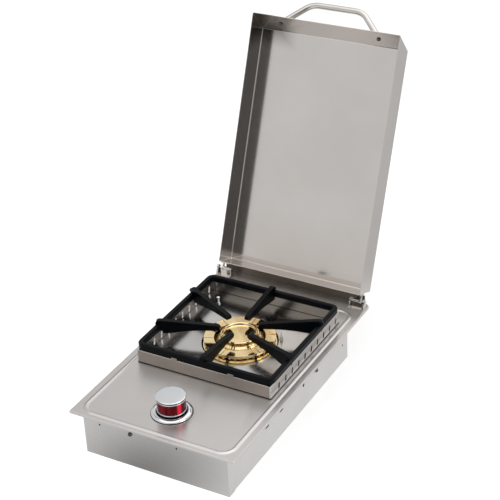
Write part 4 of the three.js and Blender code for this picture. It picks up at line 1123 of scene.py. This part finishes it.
@dataclass(frozen=True)
class BurnerHead:
    """The brass ring, crown and cap.

    Attributes:
        ports: ports round the ring's waist.
        teeth: teeth round the crown.
        notches: notches across the ring's top.
        ring_profile: radius and height of the ring's points.
        crown_profile: radius and height of the crown's points.
        cap_profile: radius and height of the cap's points.
        face_steps: faces round the head to each port or tooth.
        cap_steps: faces round the cap.
        notch_half: half of a notch, in degrees.
        notch_depth: depth of a notch.
        notch_above: the ring's faces above this height are notched.
        waist: lowest and highest middle of the ring's waist.
        waist_radius: the waist lies outside this radius.
        port_edge: width of a port's frame.
        port_depth: depth of a port.
        tooth_above: the crown's faces above this height have teeth.
        tooth_outside: the teeth lie outside this radius.
        tooth_depth: how far the gaps lie in and down.
    """

    ports: int = 36
    teeth: int = 36
    notches: int = 6
    ring_profile: Profile = (
        (48, -3), (69, -3), (69, -0.5), (65.5, -0.3), (65.5, 3.2), (65.5, 7.2), (65.5, 8.4),
        (67.5, 8.4), (67.5, 10.4), (67.5, 12), (48, 12), (48, 10.4),
    )
    crown_profile: Profile = (
        (26, -3), (44, -3), (44, 4.6), (43.6, 8.6), (40.4, 11.6), (37, 13.6), (26, 13.6),
    )
    cap_profile: Profile = (
        (0, 13.9), (35.2, 13.9), (36.1, 14.3), (36.6, 15.2), (36.7, 17.6), (36.5, 18.9),
        (35.9, 19.9), (35.0, 20.5), (34.0, 20.6), (33.1, 20.2), (32.4, 19.3), (31.9, 18.0),
        (31.5, 16.8), (31.0, 16.1), (30.0, 15.8), (24, 15.9), (12, 16.3), (0, 16.5),
    )
    face_steps: int = 4
    cap_steps: int = 120
    notch_half: float = 2.6
    notch_depth: float = 1.5
    notch_above: float = 10.3
    waist: tuple[float, float] = (3.2, 7.2)
    waist_radius: float = 64
    port_edge: float = 0.3
    port_depth: float = 1.8
    tooth_above: float = 4.6
    tooth_outside: float = 38
    tooth_depth: tuple[float, float] = (1.6, 0.8)

    def build(self) -> None:
        """Builds the three brass pieces."""
        place = DECK @ Matrix.Translation((0, BURNER_Y, 0))
        finish_piece(self.ring(), "brass_ring", BRASS, Body.BASE, ["burner_ring"], place)
        finish_piece(self.crown(), "brass_crown", BRASS, Body.BASE, ["burner_crown"], place)
        finish_piece(self.cap(), "brass_cap", BRASS, Body.BASE, ["burner_cap"], place)

    def ring(self) -> bmesh.types.BMesh:
        """Builds the ring with its ports and notches."""
        bm = bmesh.new()
        turn(bm, self.ring_profile, self.ports * self.face_steps)
        notched = [
            face for face in bm.faces
            if abs(face.normal.z) > 0.5 and self.in_notch(face.calc_center_median())
        ]
        bmesh.ops.delete(bm, geom=notched, context="FACES_KEEP_BOUNDARY")
        self.sink_notches(bm)
        self.sink_ports(bm)
        bmesh.ops.recalc_face_normals(bm, faces=bm.faces)
        settle(bm)
        soften(bm, 0.35, 2, 40)
        return bm

    def in_notch(self, point: Vector) -> bool:
        """Tells whether a point lies in one of the ring's notches."""
        step = math.tau / self.notches
        past = math.atan2(point.y, point.x) % step
        return point.z > self.notch_above and abs(past - step / 2) < math.radians(self.notch_half)

    def sink_notches(self, bm: bmesh.types.BMesh) -> None:
        """Closes the notches again a little lower."""
        rim = [edge for edge in bm.edges if edge.is_boundary]
        if not rim:
            return
        made = bmesh.ops.extrude_edge_only(bm, edges=rim)["geom"]
        verts = [item for item in made if isinstance(item, bmesh.types.BMVert)]
        bmesh.ops.translate(bm, vec=(0, 0, -self.notch_depth), verts=verts)
        edges = [item for item in made if isinstance(item, bmesh.types.BMEdge) and item.is_boundary]
        bmesh.ops.edgeloop_fill(bm, edges=edges)

    def sink_ports(self, bm: bmesh.types.BMesh) -> None:
        """Sinks every other face of the ring's waist."""
        step = math.tau / self.ports
        ports = []
        for face in bm.faces:
            centre = face.calc_center_median()
            on_waist = self.waist[0] < centre.z < self.waist[1] and centre.xy.length > self.waist_radius
            if on_waist and math.atan2(centre.y, centre.x) % step < step / self.face_steps:
                ports.append(face)
        bmesh.ops.inset_individual(bm, faces=ports, thickness=self.port_edge, use_even_offset=True)
        for face in ports:
            face.normal_update()
            bmesh.ops.translate(bm, vec=-face.normal * self.port_depth, verts=face.verts)

    def crown(self) -> bmesh.types.BMesh:
        """Builds the crown with its teeth."""
        bm = bmesh.new()
        turn(bm, self.crown_profile, self.teeth * self.face_steps)
        step = math.tau / self.teeth
        sunk = []
        for face in bm.faces:
            centre = face.calc_center_median()
            outside = centre.z > self.tooth_above and centre.xy.length > self.tooth_outside
            in_gap = math.atan2(centre.y, centre.x) % step < step / 2
            if outside and in_gap and face.normal.z < 0.99:
                sunk.append(face)
        made = bmesh.ops.extrude_face_region(bm, geom=sunk)["geom"]
        verts = [item for item in made if isinstance(item, bmesh.types.BMVert)]
        bmesh.ops.delete(bm, geom=sunk, context="FACES_ONLY")
        inward, down = self.tooth_depth
        for vert in verts:
            vert.co.xy *= 1 - inward / max(vert.co.xy.length, 1)
            vert.co.z -= down
        soften(bm, 0.2, 1, 45)
        return bm

    def cap(self) -> bmesh.types.BMesh:
        """Builds the dished cap with its raised rim."""
        bm = bmesh.new()
        turn(bm, self.cap_profile, self.cap_steps)
        return bm


@dataclass(frozen=True)
class Grate:
    """The cast iron grate: a ring with six fingers.

    Attributes:
        width: width of the ring.
        depth: depth of the ring.
        bar: width of the ring's bar.
        bottom: underside of the ring.
        top: top of the ring.
        corner: radius of the ring's corners.
        edge: how far the bars are rounded.
        thickness: thickness of a finger.
        tip_top: top of a finger's tip.
        tip_bottom: underside of a finger's tip.
        end_tip: from the middle to the tip of the front and back fingers.
        side_tip: from the middle to the tip of a side finger, sideways and back.
        side_root: from the middle back to where a side finger meets the ring.
        finger_top: top of a finger over the ring.
        web_bottom: underside of a finger at the ring.
        end_reach: where the front and back webs end.
        nub: length of the nub over the ring.
        overrun: how far a nub stands out past the ring.
        overlap: how far a finger runs into the ring's bar.
        knee_share: where along a finger its underside starts to drop.
        radii: how far the corners of a finger's outline are rounded.
        section_steps: faces to each rounded edge of the ring.
    """

    width: float = 280
    depth: float = 272
    bar: float = 9.5
    bottom: float = 26.7
    top: float = 39.7
    corner: float = 14
    edge: float = 2.8
    thickness: float = 9
    tip_top: float = 38.5
    tip_bottom: float = 28.5
    end_tip: float = 27.5
    side_tip: tuple[float, float] = (30.5, 18)
    side_root: float = 64
    finger_top: float = 48
    web_bottom: float = 20.5
    end_reach: float = 131
    nub: float = 13
    overrun: float = 1
    overlap: float = 1.6
    knee_share: float = 0.42
    radii: tuple[float, ...] = (5.1, 5.1, 16.8, 8.4, 9, 1.5, 0, 0, 0, 0, 6.5, 9)
    section_steps: int = 4

    def build(self) -> None:
        """Builds the ring and the fingers as one piece."""
        bm = self.ring()
        for angle in (90, -90):
            self.add_finger(bm, self.end_tip, self.depth / 2, self.end_reach, math.radians(angle), 0)
        tip_x, tip_y = self.side_tip
        lean = math.atan2(self.side_root - tip_y, self.width / 2 - tip_x)
        stretch = 1 / math.cos(lean)
        offset = tip_y - tip_x * math.tan(lean)
        reach = (self.end_reach - self.thickness / 2 * math.sin(lean)) * stretch
        for side, back in ((1, 1), (1, -1), (-1, 1), (-1, -1)):
            angle = back * lean if side > 0 else math.pi - back * lean
            self.add_finger(
                bm, tip_x * stretch, self.width / 2 * stretch, reach, angle, back * offset
            )
        place = DECK @ Matrix.Translation((0, BURNER_Y, 0))
        finish_piece(bm, "cast_grate", IRON, Body.BASE, ["grate"], place)

    def ring(self) -> bmesh.types.BMesh:
        """Builds the ring from outlines that go round its bar."""
        bm = bmesh.new()
        section: list[tuple[float, float]] = []
        corners = (
            (self.edge, self.bottom + self.edge, 180),
            (self.bar - self.edge, self.bottom + self.edge, 270),
            (self.bar - self.edge, self.top - self.edge, 0),
            (self.edge, self.top - self.edge, 90),
        )
        for inset, z, start in corners:
            for step in range(self.section_steps + 1):
                angle = math.radians(start + 90 * step / self.section_steps)
                section.append((inset + self.edge * math.cos(angle), z + self.edge * math.sin(angle)))
        loops = []
        for inset, z in section:
            size = (self.width - 2 * inset, self.depth - 2 * inset)
            loops.append(rounded_loop(bm, size, self.corner - inset, (0, 0, z), 6))
        skin(bm, loops + [loops[0]])
        return bm

    def add_finger(
        self, bm: bmesh.types.BMesh, tip: float, root: float, reach: float, angle: float, offset: float
    ) -> None:
        """Adds one finger.

        Args:
            bm: the grate's mesh.
            tip: from the burner's middle to the tip.
            root: from the burner's middle to the ring's outer face.
            reach: from the burner's middle to the web's end.
            angle: the finger's direction.
            offset: how far it is set off to the back.
        """
        part = bmesh.new()
        outer = root + self.overrun
        knee = tip + (reach - tip) * self.knee_share
        middle = (knee + reach) / 2
        drop = (self.tip_bottom + self.web_bottom) / 2
        inside = root - self.overlap
        points = [
            (tip, 0, self.tip_top), (tip, 0, self.tip_bottom), (knee, 0, self.tip_bottom),
            (middle, 0, drop), (reach - self.bar, 0, self.web_bottom), (reach, 0, self.web_bottom),
            (reach, 0, self.bottom), (inside, 0, self.bottom), (inside, 0, self.top),
            (outer, 0, self.top), (outer, 0, self.finger_top), (outer - self.nub, 0, self.finger_top),
        ]
        face = outline_face(part, points)
        for vert, radius in zip(list(face.verts), self.radii):
            if radius > 0:
                bmesh.ops.bevel(
                    part, geom=[vert], offset=radius, offset_type="OFFSET", segments=6, profile=0.5,
                    affect="VERTICES", clamp_overlap=True, material=-1,
                )
        made = bmesh.ops.extrude_face_region(part, geom=list(part.faces))["geom"]
        verts = [item for item in made if isinstance(item, bmesh.types.BMVert)]
        bmesh.ops.translate(part, vec=(0, self.thickness, 0), verts=verts)
        bmesh.ops.translate(part, vec=(0, -self.thickness / 2, 0), verts=part.verts)
        settle(part)
        soften(part, self.edge, 3, 50)
        bmesh.ops.recalc_face_normals(part, faces=part.faces)
        merge_into(bm, part, Matrix.Translation((0, offset, 0)) @ Matrix.Rotation(angle, 4, "Z"))


@dataclass(frozen=True)
class Knob:
    """The lit control knob on its bezel.

    Each profile gives the radius and height of a turned piece's points.

    Attributes:
        steps: steps of a full turn.
        bezel: profile of the bezel.
        shade_ring: profile of the black ring under the bezel, which is painted shade round the bezel's
            foot.
        cap: profile of the cap.
        groove: profile of the groove's floor in the cap.
        band: profile of the lit band.
        foot: profile of the foot ring.
        dots: the dots' places round the bezel, in degrees.
        dot_radius: radius of the first dot and how much each next one grows.
        dot_place: radius and height at which the dots stand.
        tick: the tick's place round the bezel, in degrees.
        tick_corners: low and high corner of the tick before it is turned.
    """

    steps: int = 96
    bezel: Profile = (
        (28.0, 1.0), (37.0, 1.0), (37.0, 1.6), (36.7, 2.3), (36.0, 3.2), (34.8, 4.1), (33.2, 4.8),
        (31.4, 5.25), (30.0, 5.4), (29.0, 5.3), (28.3, 4.9), (28.0, 4.2),
    )
    shade_ring: Profile = ((30, 0.1), (37.7, 0.1), (37.7, 0.6), (37.3, 0.9), (30, 0.9))
    cap: Profile = (
        (0, 30.2), (26.0, 30.2), (26.7, 30.35), (27.0, 30.7), (27.0, 32.2), (26.7, 32.4),
        (25.2, 32.5), (25.2, 34.2), (26.7, 34.3), (27.0, 34.5), (26.9, 34.9), (26.5, 35.4),
        (25.8, 35.8), (25.0, 36.0), (12, 36.0), (0, 36.0),
    )
    groove: Profile = ((25.1, 32.5), (26.4, 32.5), (26.4, 34.2), (25.1, 34.2))
    band: Profile = ((22.5, 10.3), (25.2, 10.3), (25.5, 10.6), (25.5, 29.6), (25.2, 29.9), (22.5, 29.9))
    foot: Profile = ((10.5, 7.4), (25.9, 7.4), (26.4, 7.8), (26.4, 9.5), (25.9, 10.0), (10.5, 10.0))
    dots: tuple[float, ...] = (-131, -124, -117, -110)
    dot_radius: tuple[float, float] = (0.6, 0.15)
    dot_place: tuple[float, float] = (32.6, 4.95)
    tick: float = -101
    tick_corners: tuple[Point, Point] = ((30.6, -0.35, 4.9), (34.0, 0.35, 5.4))

    def build(self) -> None:
        """Builds the knob's rings and the marks on its bezel."""
        place = DECK @ Matrix.Translation((0, KNOB_Y, 0))
        self.ring(place, "bezel_ring", self.bezel, CHROME, Body.BASE, ["knob_bezel"])
        # A black ring under the bezel that stands in for the shade round its foot
        self.ring(place, "bezel_shade_ring", self.shade_ring, BLACK, Body.BASE, [])
        self.ring(place, "cap_disc", self.cap, CHROME, Body.KNOB, ["knob_cap"])
        self.ring(place, "cap_groove", self.groove, BLACK, Body.KNOB, [])
        self.ring(place, "light_band", self.band, RED_BAND, Body.KNOB, ["knob_light_band"])
        self.ring(place, "foot_ring", self.foot, CHROME, Body.KNOB, ["knob_foot_ring"])
        self.build_marks(place)

    def ring(
        self, place: Matrix, name: str, profile: Profile, finish: Finish, body: Body,
        nodes: Sequence[str],
    ) -> None:
        """Builds one turned piece of the knob.

        Args:
            place: from the knob's millimetres to the frame's metres.
            name: the piece's name.
            profile: radius and height of its points.
            finish: its finish.
            body: the body it rides on.
            nodes: the CAD nodes it stands for.
        """
        bm = bmesh.new()
        turn(bm, profile, self.steps)
        finish_piece(bm, name, finish, body, nodes, place)

    def build_marks(self, place: Matrix) -> None:
        """Builds the plain dots and tick on the bezel."""
        bm = bmesh.new()
        start, growth = self.dot_radius
        radius, height = self.dot_place
        for number, turned in enumerate(self.dots):
            part = bmesh.new()
            size = start + growth * number
            bmesh.ops.create_cone(
                part, cap_ends=True, segments=20, radius1=size, radius2=size * 0.9, depth=0.5
            )
            bmesh.ops.translate(part, vec=(radius, 0, height), verts=part.verts)
            merge_into(bm, part, Matrix.Rotation(math.radians(turned), 4, "Z"))
        tick = bmesh.new()
        add_block(tick, *self.tick_corners, edge=0.1, segments=1)
        merge_into(bm, tick, Matrix.Rotation(math.radians(self.tick), 4, "Z"))
        finish_piece(bm, "bezel_marks", BLACK, Body.BASE, [], place)


@dataclass(frozen=True)
class Tube:
    """A round bar that is built on from its last outline.

    Attributes:
        bm: the mesh it is built in.
        radius: its radius.
    """

    bm: bmesh.types.BMesh
    radius: float

    def start(self, point: Vector, direction: Vector, segments: int = 28) -> Edges:
        """Adds the first outline across a direction."""
        matrix = Matrix.Translation(point) @ direction.to_track_quat("Z", "Y").to_matrix().to_4x4()
        verts = bmesh.ops.create_circle(
            self.bm, cap_ends=False, radius=self.radius, segments=segments, matrix=matrix
        )["verts"]
        return each_once(edge for vert in verts for edge in vert.link_edges)

    def straight(self, edges: Edges, run: Vector) -> Edges:
        """Runs the last outline on and returns the new one."""
        made = bmesh.ops.extrude_edge_only(self.bm, edges=edges)["geom"]
        verts = [item for item in made if isinstance(item, bmesh.types.BMVert)]
        bmesh.ops.translate(self.bm, vec=run, verts=verts)
        new = set(verts)
        return [e for e in self.bm.edges if e.verts[0] in new and e.verts[1] in new]

    def bend(self, edges: Edges, pivot: Vector, axis: Vector, angle: float, steps: int) -> Edges:
        """Bends the last outline on about an axis and returns the new one."""
        verts = each_once(vert for edge in edges for vert in edge.verts)
        made = bmesh.ops.spin(
            self.bm, geom=verts + edges, cent=pivot, axis=axis, dvec=(0, 0, 0), angle=angle,
            steps=steps, use_merge=False, use_duplicate=False,
        )["geom_last"]
        return [item for item in made if isinstance(item, bmesh.types.BMEdge)]


@dataclass(frozen=True)
class Lid:
    """The open lid with its handle.

    Attributes:
        width: its width.
        top: height of its plate above the hinge axis when closed.
        rim: height of its rim above the hinge axis when closed.
        back: where its back wall stands.
        top_front: where its plate ends.
        rim_front: where its slanted wall ends.
        front_lift: how much higher its rim is at the front, so that it clears the deck's bead.
        fold: radius of its folds.
        foot: from the middle to a foot of the handle.
        grip: from the middle to where leg and grip would meet.
        rise: height of the handle's grip over the wall.
        bar: radius of the handle's bar.
        bend: from the meeting point to where the bend starts.
        wall_share: where the handle stands on the slanted wall.
        overrun: how far the bar is built past the wall before it is cut.
        cut: height of the cut over the wall.
        foot_edge: how far the bar's cut ends are rounded.
        bend_steps: faces along each bend.
        screw_edge: how far the screws' edges are rounded.
    """

    width: float = 309
    top: float = 37.6
    rim: float = -13.4
    back: float = -13.3
    top_front: float = -479.3
    rim_front: float = -507.3
    front_lift: float = 0.8
    fold: float = 2.6
    foot: float = 103
    grip: float = 53.5
    rise: float = 48.8
    bar: float = 6
    bend: float = 16
    wall_share: float = 0.52
    overrun: float = 14
    cut: float = 0.3
    foot_edge: float = 0.5
    bend_steps: int = 12
    screw_edge: float = 0.25

    def build(self) -> None:
        """Builds the tray and the handle, and dresses the screws."""
        self.build_shell()
        self.build_handle()
        for side in ("left", "right"):
            dress_node(f"handle_screw_{side}", SCREW_STEEL, self.screw_edge)

    def build_shell(self) -> None:
        """Builds the lid's tray as one folded sheet."""
        bm = bmesh.new()
        verts = bmesh.ops.create_cube(bm, size=1)["verts"]
        for vert in verts:
            high = vert.co.z > 0
            front = self.top_front if high else self.rim_front
            rim = self.rim if vert.co.y > 0 else self.rim + self.front_lift
            vert.co.x *= self.width
            vert.co.y = self.back if vert.co.y > 0 else front
            vert.co.z = self.top if high else rim
        mouth = [face for face in bm.faces if all(vert.co.z < 0 for vert in face.verts)]
        bmesh.ops.delete(bm, geom=mouth, context="FACES_ONLY")
        bmesh.ops.recalc_face_normals(bm, faces=bm.faces)
        if sum(face.normal.z for face in bm.faces) < 0:
            bmesh.ops.reverse_faces(bm, faces=bm.faces)
        folds = [edge for edge in bm.edges if not edge.is_boundary]
        bmesh.ops.bevel(
            bm, geom=folds, offset=self.fold, offset_type="OFFSET", segments=5, profile=0.5,
            affect="EDGES", clamp_overlap=True, material=-1,
        )
        finish_piece(bm, "lid_tray", STEEL, Body.LID, ["lid_shell"], LID, Sheeting())

    def build_handle(self) -> None:
        """Builds the bent bar, cut flush with the wall."""
        bm = bmesh.new()
        tube = Tube(bm, self.bar)
        run = Vector((self.foot - self.grip, 0, self.rise)).normalized()
        lean = math.acos(run.z)
        foot = Vector((-self.foot, 0, 0)) - run * self.overrun
        corner = Vector((-self.grip, 0, self.rise))
        turned = math.pi / 2 - lean
        across = Vector((0, 1, 0))
        radius = self.bend / math.tan(turned / 2)
        enter = corner - run * self.bend
        leave = corner + Vector((self.bend, 0, 0))
        edges = tube.start(foot, run)
        edges = tube.straight(edges, enter - foot)
        edges = tube.bend(edges, leave - Vector((0, 0, radius)), across, turned, self.bend_steps)
        edges = tube.straight(edges, Vector((-2 * leave.x, 0, 0)))
        pivot = Vector((-leave.x, 0, self.rise - radius))
        edges = tube.bend(edges, pivot, across, turned, self.bend_steps)
        down = Vector((run.x, 0, -run.z))
        tube.straight(edges, down * (enter - foot).length)
        settle(bm)
        cut = bmesh.ops.bisect_plane(
            bm, geom=list(bm.verts) + list(bm.edges) + list(bm.faces), plane_co=(0, 0, self.cut),
            plane_no=(0, 0, -1), clear_outer=True,
        )["geom_cut"]
        bmesh.ops.edgeloop_fill(bm, edges=[item for item in cut if isinstance(item, bmesh.types.BMEdge)])
        settle(bm)
        soften(bm, self.foot_edge, 2, 40)
        y = self.top_front + (self.rim_front - self.top_front) * self.wall_share
        z = self.top + (self.rim - self.top) * self.wall_share
        slope = math.atan2(self.top - self.rim, self.top_front - self.rim_front)
        place = LID @ Matrix.Translation((0, y, z)) @ Matrix.Rotation(slope, 4, "X")
        finish_piece(bm, "handle_bar", BAR_STEEL, Body.LID, ["lid_handle"], place)


@dataclass(frozen=True)
class CarriedOver:
    """The CAD nodes that keep their shape and get a finish.

    Attributes:
        finish: their finish.
        nodes: their names.
        edge: how far their edges are rounded.
    """

    finish: Finish
    nodes: tuple[str, ...]
    edge: float = 0.3

    def build(self) -> None:
        """Dresses the nodes."""
        for node in self.nodes:
            dress_node(node, self.finish, self.edge)


CARRIED_OVER = (
    CarriedOver(BOX_STEEL, (
        "front_panel", "right_side_panel", "left_side_panel", "back_panel", "bottom_panel",
    )),
    CarriedOver(INNER_STEEL, (
        "burner_bracket", "venturi_tube", "air_shutter", "igniter_bracket", "valve_bracket",
        "manifold_pipe", "stem_collar",
    ), 0.2),
    CarriedOver(SCREW_STEEL, ("front_panel_screw", "module_screw"), 0.3),
    CarriedOver(BAR_STEEL, (
        "hinge_bracket_right", "hinge_bracket_left", "hinge_leaf_right", "hinge_leaf_left",
    ), 0.3),
    CarriedOver(CHROME, ("hinge_pin_right", "hinge_pin_left"), 0.3),
    CarriedOver(CHROME, ("return_spring",), 0),
    CarriedOver(CAST_ALUMINIUM, ("burner_base",), 0.6),
    CarriedOver(VALVE_BRASS, ("valve_stem", "valve_body", "gas_orifice", "gas_inlet"), 0.3),
    CarriedOver(BLACK, ("knob_core", "light_ring", "spark_module"), 0.4),
    CarriedOver(CERAMIC, ("igniter_electrode",), 0.2),
    CarriedOver(RUBBER, ("igniter_lead",), 0),
)


@dataclass(frozen=True)
class Zone:
    """A part of the studio that is darker or brighter in metal, as a black or white card would be.

    Attributes:
        towards: where it stands, seen from the object.
        reach: cosines of the angles at which it starts and is full.
        level: how bright it is beside the rest.
    """

    towards: Point
    reach: tuple[float, float]
    level: float


@dataclass(frozen=True)
class Patch:
    """A part of the floor that is darker in metal.

    Attributes:
        middle: its middle.
        reach: from the middle to where it starts to fade and to where it ends.
        level: how bright it is in its middle beside the rest.
    """

    middle: Point
    reach: tuple[float, float]
    level: float


@dataclass(frozen=True)
class Lamp:
    """A soft lamp that looks at the object.

    Attributes:
        name: its name.
        place: its place in metres.
        size: its width and height.
        power: its power.
        in_metal: whether metal shows it.
        aimed_at: where it is aimed.
    """

    name: str
    place: Point
    size: tuple[float, float]
    power: float
    in_metal: bool = False
    aimed_at: Point = (0, 0, 0.1)

    def build(self) -> None:
        """Builds the lamp."""
        data = bpy.data.lights.new(self.name, "AREA")
        data.shape = "RECTANGLE"
        data.size, data.size_y = self.size
        data.energy = self.power
        lamp = bpy.data.objects.new(self.name, data)
        lamp.location = self.place
        aim = Vector(self.place) - Vector(self.aimed_at)
        lamp.rotation_euler = aim.to_track_quat("Z", "Y").to_euler()
        lamp.visible_glossy = self.in_metal
        bpy.context.scene.collection.objects.link(lamp)


@dataclass(frozen=True)
class Studio:
    """The camera, the floor and the light.

    Attributes:
        place: the camera's place in metres.
        right: the picture's right.
        up: the picture's up.
        back: from the object to the camera.
        lens: focal length for a sensor 36 mm wide.
        ambient: level of the light from all round.
        floor_glow: how much the floor is lifted to white.
        floor_level: how bright the floor looks in metal.
        patches: the darker parts of the floor as metal sees it; the first is a painted shadow of the
            box.
        sky: how bright the studio is in metal.
        zones: the darker and brighter parts of the studio.
        lamps: the lamps.
        sensor: width of the camera's sensor in millimetres.
        reach: how far the camera sees, in metres.
        floor_half: half the floor's width, in metres.
    """

    place: Point = (1.13416, -1.83117, 1.55597)
    right: Point = (0.875931, 0.480686, -0.041059)
    up: Point = (-0.208417, 0.453794, 0.866391)
    back: Point = (0.435094, -0.750341, 0.497676)
    lens: float = 102.94
    ambient: float = 0.75
    floor_glow: float = 0.45
    floor_level: float = 0.95
    patches: tuple[Patch, ...] = (
        # A painted shadow of the box on the floor round its front, seen only in metal
        Patch((-0.02, -0.235, 0), (0, 0.2), 0.38),
        Patch((-0.55, -0.5, 0), (0.2, 0.6), 0.85),
        Patch((0.62, 1.2, 0), (0.72, 0.98), 0.63),
    )
    sky: float = 0.93
    zones: tuple[Zone, ...] = (
        Zone((0.435, -0.89, 0.141), (0.90, 0.97), 0.15),
        Zone((-0.66, 0.75, 0.05), (0.93, 0.985), 0.25),
        Zone((0.05, 0.66, 0.75), (0.84, 0.96), 1.7),
        Zone((0, -0.1, 1), (0.70, 0.92), 1.8),
        Zone((0.81, 0.02, 0.58), (0.966, 0.99), 3.8),
    )
    lamps: tuple[Lamp, ...] = (
        Lamp("key_light", (-0.9, -1.1, 1.6), (1.4, 1.4), 16),
        Lamp("fill_light", (1.6, -0.3, 1.1), (1.2, 1.2), 8),
    )
    sensor: float = 36
    reach: float = 30
    floor_half: float = 6

    def build(self) -> None:
        """Builds the whole studio."""
        self.build_camera()
        self.build_floor()
        self.build_world()
        for lamp in self.lamps:
            lamp.build()

    def build_camera(self) -> None:
        """Builds the camera at the photograph's viewing angle."""
        scene = bpy.context.scene
        camera = bpy.data.objects.new("camera", bpy.data.cameras.new("camera"))
        scene.collection.objects.link(camera)
        camera.data.sensor_width = self.sensor
        camera.data.lens = self.lens
        camera.data.clip_end = self.reach
        turned = Matrix((self.right, self.up, self.back)).transposed()
        camera.matrix_world = Matrix.Translation(self.place) @ turned.to_4x4()
        scene.camera = camera
        scene.view_settings.view_transform = "Standard"

    def build_floor(self) -> None:
        """Builds the plain pale floor, which looks white and keeps the shadow."""
        bm = bmesh.new()
        bmesh.ops.create_grid(bm, x_segments=1, y_segments=1, size=self.floor_half)
        mesh = bpy.data.meshes.new("floor")
        bm.to_mesh(mesh)
        bm.free()
        floor = bpy.data.objects.new("floor", mesh)
        bpy.context.scene.collection.objects.link(floor)
        graph = Graph("floor_paint")
        paint = graph.blend(graph.noise(3), (0.90, 0.90, 0.90), (0.92, 0.92, 0.92))
        graph.link(paint, graph.shader.inputs["Base Color"])
        graph.shader.inputs["Roughness"].default_value = 0.9
        graph.shader.inputs["Specular IOR Level"].default_value = 0
        path = graph.add("ShaderNodeLightPath")
        seen = graph.math("MAXIMUM", path.outputs["Is Camera Ray"], path.outputs["Is Transmission Ray"])
        level: bpy.types.NodeSocket | float = self.floor_level
        for patch in self.patches:
            away = graph.add("ShaderNodeVectorMath", operation="DISTANCE")
            away.inputs[1].default_value = patch.middle
            graph.link(graph.place, away.inputs[0])
            fade = graph.add("ShaderNodeMapRange", interpolation_type="SMOOTHSTEP", To_Min=patch.level)
            fade.inputs["From Min"].default_value, fade.inputs["From Max"].default_value = patch.reach
            graph.link(away.outputs["Value"], fade.inputs["Value"])
            level = graph.math("MULTIPLY", fade.outputs["Result"], level)
        in_metal = graph.add("ShaderNodeEmission")
        graph.link(level, in_metal.inputs["Strength"])
        graph.shader.inputs["Emission Color"].default_value = (1, 1, 1, 1)
        glow = graph.math("MULTIPLY", seen, self.floor_glow)
        graph.link(glow, graph.shader.inputs["Emission Strength"])
        mix = graph.add("ShaderNodeMixShader")
        graph.link(path.outputs["Is Glossy Ray"], mix.inputs[0])
        graph.link(graph.shader.outputs[0], mix.inputs[1])
        graph.link(in_metal.outputs[0], mix.inputs[2])
        output = graph.tree.nodes["Material Output"]
        graph.link(mix.outputs[0], output.inputs["Surface"])
        mesh.materials.append(graph.material)

    def build_world(self) -> None:
        """Builds the light from all round, which looks white to the camera and in metal."""
        world = bpy.data.worlds.new("studio")
        bpy.context.scene.world = world
        world.use_nodes = True
        tree = world.node_tree
        tree.nodes.clear()
        path = tree.nodes.new("ShaderNodeLightPath")
        place = tree.nodes.new("ShaderNodeTexCoord")
        level: bpy.types.NodeSocket | float = self.sky
        for zone in self.zones:
            share = self.zone_level(tree, place.outputs["Generated"], zone)
            level = join_values(tree, "MULTIPLY", share, level)
        camera_ray, glass_ray = path.outputs["Is Camera Ray"], path.outputs["Is Transmission Ray"]
        white = join_values(tree, "MAXIMUM", camera_ray, glass_ray)
        in_metal = join_values(tree, "MULTIPLY", path.outputs["Is Glossy Ray"], level)
        shown = join_values(tree, "MAXIMUM", white, in_metal)
        other = join_values(tree, "MAXIMUM", white, path.outputs["Is Glossy Ray"])
        rest = join_values(tree, "MULTIPLY", join_values(tree, "SUBTRACT", 1, other), self.ambient)
        background = tree.nodes.new("ShaderNodeBackground")
        output = tree.nodes.new("ShaderNodeOutputWorld")
        tree.links.new(join_values(tree, "ADD", shown, rest), background.inputs["Strength"])
        tree.links.new(background.outputs["Background"], output.inputs["Surface"])

    @staticmethod
    def zone_level(
        tree: bpy.types.NodeTree, place: bpy.types.NodeSocket, zone: Zone
    ) -> bpy.types.NodeSocket:
        """Adds one zone and returns how bright the studio is there."""
        dot = tree.nodes.new("ShaderNodeVectorMath")
        dot.operation = "DOT_PRODUCT"
        dot.inputs[1].default_value = Vector(zone.towards).normalized()
        tree.links.new(place, dot.inputs[0])
        run = tree.nodes.new("ShaderNodeMapRange")
        run.interpolation_type = "SMOOTHSTEP"
        run.inputs["From Min"].default_value, run.inputs["From Max"].default_value = zone.reach
        run.inputs["To Min"].default_value = 1
        run.inputs["To Max"].default_value = zone.level
        tree.links.new(dot.outputs["Value"], run.inputs["Value"])
        return run.outputs["Result"]


def main() -> None:
    """Builds every group in order."""
    logging.basicConfig(level=logging.INFO, format="%(message)s")
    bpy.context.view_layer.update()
    Studio().build()
    Deck().build()
    BurnerFrame().build()
    BurnerHead().build()
    Grate().build()
    Knob().build()
    Lid().build()
    for group in CARRIED_OVER:
        group.build()


if __name__ == "__main__":
    main()
